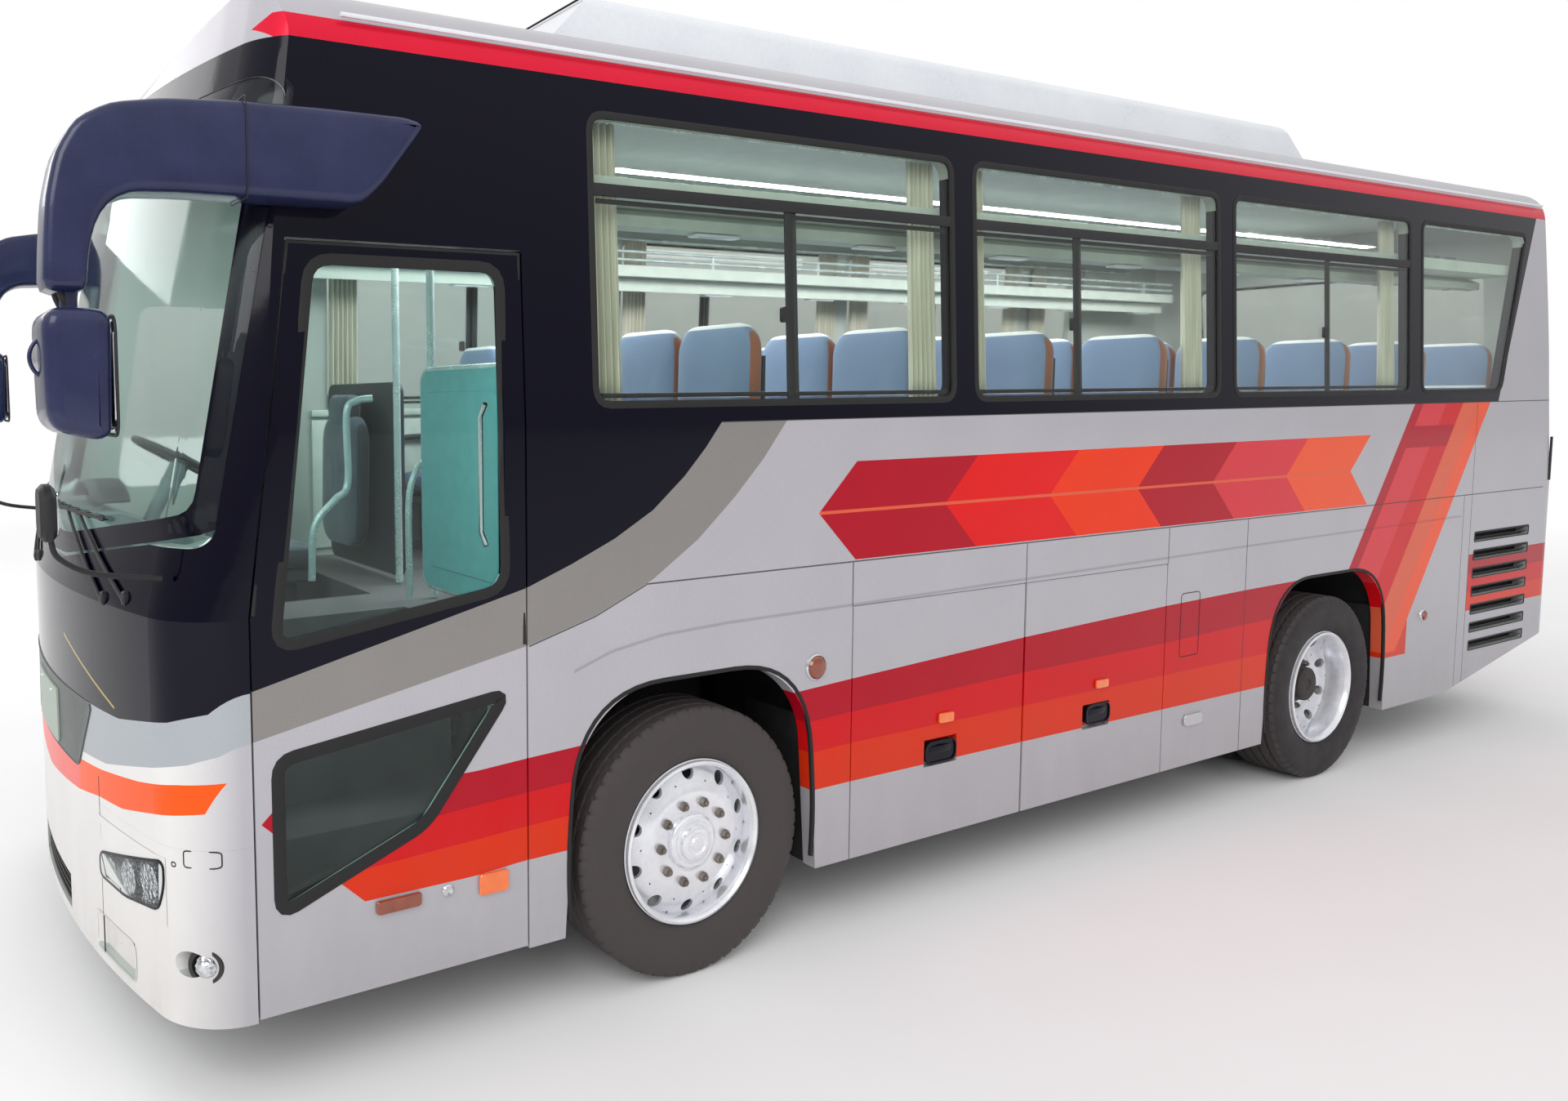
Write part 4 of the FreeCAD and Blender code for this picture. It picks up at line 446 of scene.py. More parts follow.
engineIron = grainy("engineIron", (52, 54, 56), (84, 82, 80), 60, 0.003, (0.4, 0.65), metallic=0.6, dust=0.5, top=1.6)
orangeLens = grainy("orangeLens", (226, 96, 30), (248, 124, 52), 300, 0.0006, (0.08, 0.16), Coat_Weight=1.0)
brownLens = grainy("brownLens", (120, 50, 24), (146, 66, 34), 300, 0.0006, (0.1, 0.2), Coat_Weight=1.0)
redLens = grainy("redLens", (150, 14, 24), (190, 26, 34), 260, 0.0008, (0.06, 0.14), Coat_Weight=1.0)
cabPlastic = grainy("cabPlastic", (104, 118, 120), (128, 142, 142), 420, 0.0008, (0.45, 0.6))
tealPanel = grainy("tealPanel", (96, 172, 178), (118, 190, 194), 300, 0.0006, (0.35, 0.5))
darkPlastic = grainy("darkPlastic", (34, 38, 42), (50, 54, 58), 420, 0.0008, (0.45, 0.6))
liningPale = grainy("liningPale", (190, 200, 194), (210, 218, 210), 240, 0.0008, (0.5, 0.65))
floorBoard = grainy("floorBoard", (78, 76, 80), (104, 100, 102), 140, 0.0008, (0.5, 0.7))
steelTube = grainy("steelTube", (190, 206, 208), (214, 226, 226), 160, 0.0003, (0.2, 0.32), metallic=0.35)


# Shapes: grids of points worked out as whole arrays

def patch(points, around=False, along=False, caps=False):
    # a part: rows by columns of points, closed or open each way, its end rows filled or not
    return {"points": np.asarray(points, float), "around": around, "along": along, "caps": caps}


def rectangle(x0, y0, x1, y1):
    # the four corners of a rectangle
    return np.array([(x0, y0), (x1, y0), (x1, y1), (x0, y1)])


def loop(count):
    # angles round a full turn, the last one left open
    return np.arange(count) * (2 * math.pi / count)


def circle(count):
    # points of a circle of radius 1 about 0,0
    return np.stack([np.cos(loop(count)), np.sin(loop(count))], 1)


def levelRun(start, end, z, count):
    # a straight run of points at one height
    return np.stack([np.linspace(start, end, count), np.full(count, z)], 1)


def roundedOutline(width, height, radius, steps=5):
    # a rectangle about 0,0 whose corners are quarter circles: corner centre plus radius times (cos, sin)
    turns = np.concatenate([np.linspace(q, q + 0.5, steps) * math.pi for q in (0.0, 0.5, 1.0, 1.5)])
    across = np.repeat([1, -1, -1, 1], steps) * (width / 2 - radius) + radius * np.cos(turns)
    up = np.repeat([1, 1, -1, -1], steps) * (height / 2 - radius) + radius * np.sin(turns)
    return np.stack([across, up], 1)


def smoothCorners(points, radius, steps=5):
    # a closed outline whose corners become arcs: each arc is a blend of its corner's two tangent points
    points = np.asarray(points, float)
    before = np.roll(points, 1, 0) - points
    after = np.roll(points, -1, 0) - points
    reach = np.minimum(radius, 0.45 * np.minimum(np.linalg.norm(before, axis=1), np.linalg.norm(after, axis=1)))
    start = points + before / np.linalg.norm(before, axis=1)[:, None] * reach[:, None]
    end = points + after / np.linalg.norm(after, axis=1)[:, None] * reach[:, None]
    t = np.linspace(0, 1, steps)[None, :, None]
    arcs = (1 - t) ** 2 * start[:, None] + 2 * t * (1 - t) * points[:, None] + t ** 2 * end[:, None]
    return arcs.reshape(-1, points.shape[1])


def carried(profile, path, upward, closed=False):
    # a flat profile (side, up) carried along a path: side = travel x up, both square to the travel
    path = np.asarray(path, float)
    ahead = np.roll(path, -1, 0) - path
    behind = path - np.roll(path, 1, 0)
    if not closed:
        ahead[-1] = behind[-1]
        behind[0] = ahead[0]
    travel = ahead / np.linalg.norm(ahead, axis=1)[:, None] + behind / np.linalg.norm(behind, axis=1)[:, None]
    travel /= np.linalg.norm(travel, axis=1)[:, None]
    side = np.cross(travel, np.asarray(upward, float))
    side /= np.linalg.norm(side, axis=1)[:, None]
    up = np.cross(side, travel)
    profile = np.asarray(profile, float)
    points = path[:, None] + side[:, None] * profile[None, :, :1] + up[:, None] * profile[None, :, 1:]
    return patch(points, True, closed, not closed)


def turned(profile, centre, axis="x", count=48, closed=False):
    # a profile (distance along the axis, radius) turned about an axis through centre
    profile = np.asarray(profile, float)
    angle = loop(count)
    along = np.broadcast_to(profile[:, 0][:, None], (len(profile), count))
    first = profile[:, 1][:, None] * np.cos(angle)[None]
    second = profile[:, 1][:, None] * np.sin(angle)[None]
    order = {"x": (along, first, second), "y": (second, along, first), "z": (first, second, along)}[axis]
    points = np.stack(order, 2) + np.asarray(centre, float)
    return patch(points, True, closed, not closed)


def turnedOut(side, profile, place, count=48, closed=False):
    # a profile (outwards, radius) turned about a line across the coach
    x, y, z = place
    return turned([(side * a, r) for a, r in profile], (side * x, y, z), "x", count, closed)


def setAt(flat, place, axis="x"):
    # a flat outline stood at a place along an axis
    return np.insert(np.asarray(flat, float), "xyz".index(axis), place, axis=1)


def slab(outline, low, high, axis="x", round=0.0):
    # an outline set at two ends of an axis; round draws the end rings in and fills the edge between
    outline = np.asarray(outline, float)
    middle = outline.mean(0)
    ring = np.array([[0, 1], [0, 0], [1, 0], [1, 1]]) if round else np.array([[0, 0], [1, 0]])
    rings = []
    for far, inward in ring:
        place = (high if far else low) + (round * (1 - inward) * (-1 if far else 1) if round else 0)
        shrink = 1 - inward * round / np.abs(outline - middle).max()
        rings.append(setAt(middle + (outline - middle) * shrink, place, axis))
    return patch(rings, True, caps=True)


def tube(path, radius, upward=(0, 0, 1), count=12, closed=False):
    # a round bar along a path
    return carried(circle(count) * radius, path, upward, closed)


def bar(path, width, height, upward=(0, 0, 1), radius=0.003, closed=False):
    # a bar of rounded rectangular section along a path
    return carried(roundedOutline(width, height, min(radius, width / 2.2, height / 2.2), 3), path, upward, closed)


def curveThrough(points, steps=8):
    # a smooth line through points: cubic blends whose tangents are half the step across each point
    points = np.asarray(points, float)
    slope = np.gradient(points, axis=0)
    t = np.linspace(0, 1, steps, endpoint=False)[:, None, None]
    p, q, m, n = points[:-1], points[1:], slope[:-1], slope[1:]
    run = ((2 * t**3 - 3 * t**2 + 1) * p + (t**3 - 2 * t**2 + t) * m + (3 * t**2 - 2 * t**3) * q + (t**3 - t**2) * n)
    return np.concatenate([run.transpose(1, 0, 2).reshape(-1, points.shape[1]), points[-1:]])


def gridFaces(rows, columns, along, around, first):
    # quads between neighbouring points, wrapping where a direction is closed
    down = np.arange(rows if along else rows - 1)
    across = np.arange(columns if around else columns - 1)
    i, j = np.meshgrid(down, across, indexing="ij")
    k, m = (i + 1) % rows, (j + 1) % columns
    quads = np.stack([i * columns + j, k * columns + j, k * columns + m, i * columns + m], 2)
    return quads.reshape(-1, 4) + first


slotOf = {
    "seat_cloth": ["seatFabric", "driverFabric", "curtainCloth"],
    "black_plastic": ["darkPlastic", "blackGloss", "blackTrim", "rubberSeal"],
    "white_plastic": ["liningPale", "steelTube", "roofPaint"], "cab_plastic": ["tealPanel"],
    "frame_paint": ["panelShade", "plateBlank"], "mirror_housing": ["chrome", "mirrorPaint"],
    "wheel_alloy": ["nutMetal", "alloy", "ironPaint"], "tyre_rubber": ["treadRubber"], "body_paint": ["nosePaint"],
    "lamp_lens": ["facetChrome", "orangeLens", "brownLens"], "red_lens": ["redLens"], "clear_glass": ["lampGlass"],
}
slotOf = {finish: slot for slot, group in slotOf.items() for finish in group}


def makePiece(name, parts, material, body="coach_body", replaces=(), smooth=35):
    # one mesh of all the parts, facing outwards, riding on a CAD body, with the material in its one slot
    verts, faces, first = [], [], 0
    for part in parts:
        rows, columns = part["points"].shape[:2]
        verts.append(part["points"].reshape(-1, 3))
        faces += gridFaces(rows, columns, part["along"], part["around"], first).tolist()
        if part["caps"]:
            faces.append(list(range(first + columns - 1, first - 1, -1))[::-1])
            faces.append([first + (rows - 1) * columns + c for c in range(columns)][::-1])
        first += rows * columns
    mesh = bpy.data.meshes.new(name)
    mesh.from_pydata(np.concatenate(verts).tolist(), [], faces)
    mesh.validate()
    piece = bpy.data.objects.new(name, mesh)
    scene.collection.objects.link(piece)
    faceOutwards(mesh)
    mesh.shade_smooth()
    mesh.set_sharp_from_angle(angle=math.radians(smooth))
    mesh.materials.append(material)
    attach(piece, body)
    if replaces:
        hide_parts(*replaces)
    return piece


def faceOutwards(mesh):
    # joins points that meet and turns the faces outwards
    net = bmesh.new()
    net.from_mesh(mesh)
    bmesh.ops.remove_doubles(net, verts=net.verts, dist=1e-5)
    bmesh.ops.recalc_face_normals(net, faces=net.faces)
    net.to_mesh(mesh)
    net.free()


def sideAt(z):
    # distance of the flank from the middle: upright to the belt line, then leaning in
    return flank["half"] - np.maximum(0.0, np.asarray(z, float) - flank["belt"]) * flank["lean"]


def onSide(outline, out=0.0, side=1):
    # points (y, z) set on the flank, out metres proud of it
    outline = np.asarray(outline, float)
    return np.stack([side * (sideAt(outline[:, 1]) + out), outline[:, 0], outline[:, 1]], 1)


# Finishes of the CAD nodes
finishes = [
    (paintSide, "side_wall_left side_wall_right roof_shell rear_shell engine_lid emergency_door entrance_door"),
    (paintSide, "luggage_lid_left_front luggage_lid_left_rear luggage_lid_right_front luggage_lid_right_rear"),
    (paintNose, "front_shell front_bumper"), (windowGlass, "fixed_windows emergency_door_glass"),
    (screenGlass, "windscreen entrance_door_glass"), (chrome, "headlamps"), (redLens, "tail_lamps"),
    (blackTrim, "door_arm wipers"), (roofPaint, "roof_air_conditioner"), (mirrorPaint, "mirror_left mirror_right"),
    (floorBoard, "floor_deck"), (darkPlastic, "luggage_hold steering_wheel"), (liningPale, "luggage_racks"),
    (ironPaint, "chassis_frame front_axle knuckle_left knuckle_right rear_axle"), (engineIron, "engine_block"),
    (tyreRubber, "front_tyre_left front_tyre_right rear_tyres_left rear_tyres_right"),
    (alloy, "front_rim_left front_rim_right rear_rims_left rear_rims_right"), (cabPlastic, "dashboard"),
]
for finish, names in finishes:
    for name in names.split():
        materials = cad[name].data.materials
        for index in range(len(materials)):
            materials[index] = finish
        if not materials:
            materials.append(finish)


# Side windows: rubber frames, the bar under the top lights and the meeting posts of the sliders
windowSet = {
    "openings": [(-2.86, -1.16), (-1.03, 0.67), (0.8, 2.5)], "sill": 2.03, "head": 2.96,
    "quarter": [(2.63, 2.03), (3.59, 2.03), (3.92, 2.96), (2.63, 2.96)],
    "barHeight": 2.722, "barWidth": 0.04, "posts": [-2.011, -0.383, 1.645], "postWidth": 0.034,
    "sealWidth": 0.026, "sealDepth": 0.012,
}
print("side windows")


def ringOnSide(outline, width, depth, out, side, radius=0.06):
    # a seal carried round an outline on the flank
    path = onSide(smoothCorners(outline, radius), out, side)
    return bar(path, width, depth, (side, 0, 0), 0.004, closed=True)


windowOutlines = [rectangle(a, windowSet["sill"], b, windowSet["head"]) for a, b in windowSet["openings"]]
for sideName, side in sides.items():
    seals, bars = [], []
    for outline in windowOutlines + ([windowSet["quarter"]] if side > 0 else []):
        seals.append(ringOnSide(outline, windowSet["sealWidth"], windowSet["sealDepth"], -0.003, side))
    for (a, b), post in zip(windowSet["openings"], windowSet["posts"]):
        level = windowSet["barHeight"]
        bars.append(bar(onSide([(a, level), (b, level)], -0.004, side), 0.012, windowSet["barWidth"], (0, 0, 1)))
        for shift, depth in ((0.0, -0.01), (0.03, -0.022)):
            bars.append(bar(onSide([(post + shift, windowSet["sill"]), (post + shift, level)], depth, side),
                            windowSet["postWidth"], 0.01, (side, 0, 0)))
        # thin rails of the sliding panes and their latches
        for height in (windowSet["sill"] + 0.03, level - 0.035):
            bars.append(bar(onSide([(a + 0.03, height), (b - 0.03, height)], -0.016, side), 0.01, 0.016, (0, 0, 1)))
        latch = slab(roundedOutline(0.03, 0.055, 0.01) + [post - 0.035, 2.34], side * 1.222, side * 1.236, "x")
        bars.append(latch)
    makePiece(f"{sideName}WindowSeals", seals, rubberSeal)
    makePiece(f"{sideName}WindowBars", bars, blackTrim)


# Flank trim: arch lips, mud flaps, rain gutter and the wells over the wheels
# each arch: axle, half width, growth of the well over it, and how far in the well's inner wall stands
trimSet = {
    "gutter": [(-3.7, 3.146), (4.12, 3.146)], "arches": [(frontAxle, 0.56, 0.06, 0.55), (rearAxle, 0.61, 0.03, 0.66)],
    "archTop": 1.09, "shoulder": 0.06, "corner": 0.35, "wellFoot": 0.32, "wellOut": 1.188,
    "flapMiddle": 1.03, "flapRun": [(-0.03, 0.86), (0.002, 0.62), (0.004, 0.285)],
}
print("flank trim")


def archLine(axle, half, grow=0.0, foot=0.3):
    # the arch as an open run: up one side, round two corners, down the other
    top = trimSet["archTop"] + grow
    reach = half + grow
    corners = [(axle - reach, foot), (axle - reach + trimSet["shoulder"], top),
               (axle + reach - trimSet["shoulder"], top), (axle + reach, foot)]
    closed = smoothCorners(corners + [(axle, foot - 2.0)], trimSet["corner"], 12)
    line = closed[(closed[:, 1] > foot - 1e-6)]
    return line[np.argsort(np.arctan2(line[:, 0] - axle, line[:, 1] - 0.3))]


for sideName, side in sides.items():
    lips, wells, flaps = [], [], []
    for axle, half, grow, deep in trimSet["arches"]:
        lips.append(bar(onSide(archLine(axle, half, 0.004), -0.004, side), 0.016, 0.016, (side, 0, 0), 0.005))
        line = archLine(axle, half, grow, trimSet["wellFoot"])
        wells.append(patch([setAt(line, side * place) for place in np.linspace(deep, trimSet["wellOut"], 6)]))
        flat = np.concatenate([line, [[axle + half, trimSet["wellFoot"]], [axle - half, trimSet["wellFoot"]]]])
        wells.append(slab(flat, side * (deep - 0.008), side * deep, "x"))
        run = [(side * trimSet["flapMiddle"], axle + half + back, z) for back, z in trimSet["flapRun"]]
        flaps.append(bar(curveThrough(run, 4), 0.3, 0.01, (0, 1, 0), 0.004))
    makePiece(f"{sideName}ArchLips", lips, rubberSeal)
    makePiece(f"{sideName}WheelWells", wells, blackTrim)
    makePiece(f"{sideName}MudFlaps", flaps, rubberSeal)
    gutter = bar([(side * 1.194, y, z) for y, z in trimSet["gutter"]], 0.012, 0.014, (0, 0, 1), 0.004)
    makePiece(f"{sideName}Gutter", [gutter], roofPaint)


# Louvres: slanted black blades across each slot of the left flank, a dark box behind
louvreSet = {"back": 4.08, "length": 0.72, "count": 7, "foot": 0.502, "spacing": 0.108, "height": 0.05}
blades = []
middle = louvreSet["back"] - louvreSet["length"] / 2
for number in range(louvreSet["count"]):
    height = louvreSet["foot"] + number * louvreSet["spacing"] + louvreSet["height"] / 2
    for share in (-0.25, 0.25):
        z = height + share * louvreSet["height"]
        path = [(1.222, middle - louvreSet["length"] / 2, z), (1.222, middle + louvreSet["length"] / 2, z)]
        blades.append(bar(path, 0.034, 0.004, (-0.5, 0, 1), 0.001))
    outline = roundedOutline(louvreSet["length"] - 0.004, louvreSet["height"] + 0.006, 0.008)
    rim = setAt(outline + [middle, height], 1.2455)
    blades.append(bar(rim, 0.007, 0.003, (1, 0, 0), 0.001, closed=True))
blades.append(slab(rectangle(3.34, 0.48, 4.1, 1.22), 1.178, 1.183, "x"))
makePiece("leftLouvres", blades, blackTrim)


# Small fittings of the flank: rows start with (y, z); round ones go on with a radius, others with width and height
fittingSet = {
    "round": [(-1.885, 1.052, 0.042, brownLens), (2.78, 0.77, 0.026, brownLens)],
    "latches": [(-1.197, 0.624, 0.175, 0.085), (-0.18, 0.632, 0.165, 0.085)],
    "markers": [(-1.175, 0.76, 0.085, 0.04, orangeLens), (-0.165, 0.765, 0.085, 0.038, orangeLens)],
    "flap": (0.5, 0.96, 0.15, 0.3), "handle": (0.548, 0.5, 0.15, 0.055),
}
print("flank fittings")
for sideName, side in sides.items():
    lenses, bezels, darks = [], [], []
    for y, z, radius, finish in fittingSet["round"]:
        profile = [(0.0, radius), (0.01, radius), (0.018, radius * 0.86), (0.022, radius * 0.45), (0.023, 0.002)]
        dome = turnedOut(side, profile, (1.2435, y, z), 32)
        makePiece(f"{sideName}Marker{len(lenses)}", [dome], finish)
        lenses.append(dome)
        ring = turnedOut(side, [(0, radius + 0.01), (0.006, radius + 0.008), (0.01, radius + 0.002), (0.004, radius)],
                         (1.2435, y, z), 32, closed=True)
        bezels.append(ring)
    flapY, flapZ, flapWidth, flapHeight = fittingSet["flap"]
    groove = smoothCorners(rectangle(flapY - flapWidth / 2, flapZ - flapHeight / 2, flapY + flapWidth / 2,
                                   flapZ + flapHeight / 2), 0.02)
    darks.append(bar(onSide(groove, -0.001, side), 0.004, 0.004, (side, 0, 0), 0.001, closed=True))
    handleY, handleZ, handleWidth, handleHeight = fittingSet["handle"]
    bezels.append(slab(roundedOutline(handleWidth, handleHeight, 0.022) + [handleY, handleZ], side * 1.2445,
                       side * 1.256, "x", 0.004))
    for y, z, width, height, finish in fittingSet["markers"]:
        lid = f"luggage_lid_{sideName}_" + ("front" if y < -0.7 else "rear")
        lens = slab(roundedOutline(width, height, 0.008) + [y, z], side * 1.2445, side * 1.258, "x", 0.004)
        makePiece(f"{sideName}Reflector{'Front' if y < -0.7 else 'Rear'}", [lens], finish, body=lid)
    makePiece(f"{sideName}FlankBezels", bezels, chrome)
    makePiece(f"{sideName}FlapGroove", darks, rubberSeal)
    for (y, z, width, height), place in zip(fittingSet["latches"], ("front", "rear")):
        # a black well with a rolled rim and a pull bar across it
        outline = roundedOutline(width, height, 0.03, 7) + [y, z]
        rim = setAt(outline, side * 1.246)
        well = slab(outline, side * 1.226, side * 1.2442, "x", 0.0)
        pull = bar([(side * 1.24, y - width * 0.36, z + 0.01), (side * 1.25, y, z + 0.012),
                    (side * 1.24, y + width * 0.36, z + 0.01)], 0.01, 0.03, (0, 0, 1), 0.004)
        makePiece(f"{sideName}Latch_{place}", [bar(rim, 0.009, 0.008, (side, 0, 0), 0.003, closed=True), well, pull],
                  blackGloss, body=f"luggage_lid_{sideName}_{place}")


# Tyres: a ribbed crown with zigzag grooves and shoulder blocks over a bulged sidewall
tyreSet = {"radius": 0.485, "rim": 0.292, "width": 0.275, "grooves": 4, "grooveDepth": 0.011, "lugs": 56}
wheelSet = {"frontMiddle": 1.1, "twinMiddles": (1.1, 0.788)}
print("tyres")


def tyre(middle, axle, side):
    # rings across the tyre and columns round it; a groove takes depth off where its zigzag passes
    count = tyreSet["lugs"] * 6
    half = tyreSet["width"] / 2
    inner, outer = tyreSet["rim"] + 0.004, tyreSet["radius"]
    wall = np.array([(-0.78, inner), (-0.86, inner + 0.012), (-0.95, inner + 0.045), (-1.0, 0.385), (-0.99, 0.425),
                     (-0.95, 0.452), (-0.905, 0.47), (-0.86, outer - 0.006), (-0.8, outer - 0.002)])
    crown = np.linspace(-0.76, 0.76, 61)
    across = np.concatenate([wall[:, 0], crown, -wall[::-1, 0]]) * half
    radius = np.concatenate([wall[:, 1], outer - 0.003 * (crown / 0.76) ** 2, wall[::-1, 1]])
    angle = loop(count)
    beat = tyreSet["lugs"]
    zigzag = 0.004 * np.abs(((angle * beat / math.pi) % 2) - 1)[None]
    places = np.linspace(-0.52, 0.52, tyreSet["grooves"]) * half
    near = np.min([np.abs(across[:, None] - place - zigzag) for place in places], 0)
    cut = tyreSet["grooveDepth"] * np.clip((0.006 - near) / 0.002, 0, 1) * (np.abs(across)[:, None] < 0.8 * half)
    block = ((angle * beat / (2 * math.pi)) % 1.0)[None]
    notch = 0.007 * np.clip((0.14 - np.abs(block - 0.5)) / 0.03, 0, 1)
    shoulder = np.clip((np.abs(across)[:, None] / half - 0.72) / 0.06, 0, 1)
    edge = shoulder * np.clip((radius[:, None] - 0.44) / 0.02, 0, 1)
    depth = np.broadcast_to(radius[:, None], (len(across), count)) - cut - notch * edge
    ribs = np.exp(-((radius[:, None] - 0.405) / 0.004) ** 2) + np.exp(-((radius[:, None] - 0.335) / 0.003) ** 2)
    wide = across[:, None] + np.sign(across)[:, None] * 0.0012 * ribs * np.ones((1, count))
    points = np.stack([side * (middle + wide), axle + depth * np.sin(angle)[None],
                       tyreSet["radius"] + depth * np.cos(angle)[None]], 2)
    return patch(points, True, True)


def tyreBuild(g, place):
    # sidewall rings by radius from the axle, dust in the tread
    grain = useGroup(g, fineGrain, {"Place": place, "Scale": 170.0})
    x, y, z = g.split(place)
    axle = g.mix(y > 0.0, (frontAxle, frontAxle, frontAxle, 1), (rearAxle, rearAxle, rearAxle, 1))
    far = g.math("SQRT", abs(y - axle) ** 2.0 + abs(z - axleHeight) ** 2.0)
    colour = g.mix(grain["Tone"], shaded((24, 22, 26)), shaded((40, 36, 40)))
    colour = g.mix(g.ramp(far, 0.462, 0.484, 0.0, 0.45), colour, shaded((84, 76, 74)))
    film = g.ramp(g.noise(place, 14.0, 5, 0.7), 0.4, 0.7) * 0.35
    colour = g.mix(film, colour, shaded((70, 62, 60)))
    ring = g.math("SINE", far * 900.0)
    height = grain["Height"] + ring * ((far < 0.44) * 0.4)
    return {"Base Color": colour, "Roughness": g.ramp(grain["Tone"], 0.0, 1.0, 0.6, 0.82),
            "Normal": g.bump(height, 0.5, 0.0012)}


treadRubber = makeMaterial("treadRubber", tyreBuild)
for sideName, side in sides.items():
    makePiece(f"{sideName}FrontTyreTread", [tyre(wheelSet["frontMiddle"], frontAxle, side)], treadRubber,
              body=f"front_wheel_{sideName}", replaces=[f"front_tyre_{sideName}"], smooth=30)
    twins = [tyre(middle, rearAxle, side) for middle in wheelSet["twinMiddles"]]
    makePiece(f"{sideName}RearTyreTreads", twins, treadRubber, body=f"rear_wheels_{sideName}",
              replaces=[f"rear_tyres_{sideName}"], smooth=30)


# Hubs: ten domed nuts on a ring, a stepped cap and a polished lip; profiles are (outwards, radius)
hubSet = {
    "nutCount": 10, "nutCircle": 0.143, "nutRadius": 0.0175, "lipAt": 1.205,
    "nut": [(0.0, 1.35), (0.004, 1.35), (0.005, 1.0), (0.022, 1.0), (0.026, 0.85), (0.026, 0.55), (0.033, 0.5),
            (0.035, 0.02)],
    "lip": [(0.0, 0.27), (0.02, 0.2745), (0.026, 0.282), (0.022, 0.291), (0.01, 0.294), (-0.004, 0.29)],
    "frontCap": [(0.0, 0.098), (0.01, 0.098), (0.016, 0.092), (0.018, 0.082), (0.014, 0.074), (0.016, 0.066),
                 (0.03, 0.062), (0.034, 0.056), (0.034, 0.04), (0.03, 0.036), (0.03, 0.024), (0.035, 0.02),
                 (0.036, 0.002)],
    "rearCap": [(0.0, 0.112), (0.03, 0.11), (0.038, 0.104), (0.04, 0.092), (0.085, 0.088), (0.092, 0.078),
                (0.092, 0.03), (0.086, 0.026), (0.086, 0.003)],
}
print("wheel hubs")


def nutRing(side, axle, face):
    # a six-sided nut with a domed end and a washer, repeated round the hub
    parts = []
    profile = [(a, r * hubSet["nutRadius"]) for a, r in hubSet["nut"]]
    for number in range(hubSet["nutCount"]):
        turn = (number + 0.5) * 2 * math.pi / hubSet["nutCount"]
        off, up = hubSet["nutCircle"] * math.sin(turn), hubSet["nutCircle"] * math.cos(turn)
        parts.append(turnedOut(side, profile, (face, axle + off, axleHeight + up), 6))
    return parts


for sideName, side in sides.items():
    body = f"front_wheel_{sideName}"
    makePiece(f"{sideName}FrontNuts", nutRing(side, frontAxle, 1.204), nutMetal, body=body, smooth=30)
    hub = turnedOut(side, hubSet["frontCap"], (1.2045, frontAxle, axleHeight), 64)
    lip = turnedOut(side, hubSet["lip"], (hubSet["lipAt"], frontAxle, axleHeight), 96, closed=True)
    makePiece(f"{sideName}FrontHub", [hub, lip], alloy, body=body, smooth=40)
    body = f"rear_wheels_{sideName}"
    makePiece(f"{sideName}RearNuts", nutRing(side, rearAxle, 1.074), nutMetal, body=body, smooth=30)
    hub = turnedOut(side, hubSet["rearCap"], (1.07, rearAxle, axleHeight), 64)
    lip = turnedOut(side, hubSet["lip"], (hubSet["lipAt"], rearAxle, axleHeight), 96, closed=True)
    makePiece(f"{sideName}RearLip", [lip], alloy, body=body, smooth=40)
    # the rear hub's dark iron is partly its own finish, partly painted shade for the shadow deep in the twin wheels
    makePiece(f"{sideName}RearHub", [hub], ironPaint, body=body, smooth=40)


# Rims: a dished disc with ten hand holes, a polished lip and a barrel to the inner flange
rimSet = {
    "holes": 10, "holeCircle": 0.244, "holeRadius": 0.025, "cellInner": 0.212, "cellOuter": 0.272,
    "frontDish": [(0.1, 1.206), (0.112, 1.21), (0.17, 1.21), (0.185, 1.207), (0.212, 1.196), (0.244, 1.182),
                  (0.272, 1.168)],
    "rearDish": [(0.1, 1.079), (0.112, 1.075), (0.175, 1.075), (0.19, 1.078), (0.212, 1.088), (0.244, 1.103),
                 (0.272, 1.116)],
    "lip": [(0.272, 0.0), (0.276, 0.014), (0.2775, 0.034), (0.282, 0.044), (0.29, 0.048), (0.2965, 0.045),
            (0.2955, 0.036), (0.288, 0.03)],
}
print("rims")


def dish(profile, radius):
    # how far out the disc stands at a radius
    radii, places = zip(*profile)
    return np.interp(radius, radii, places)


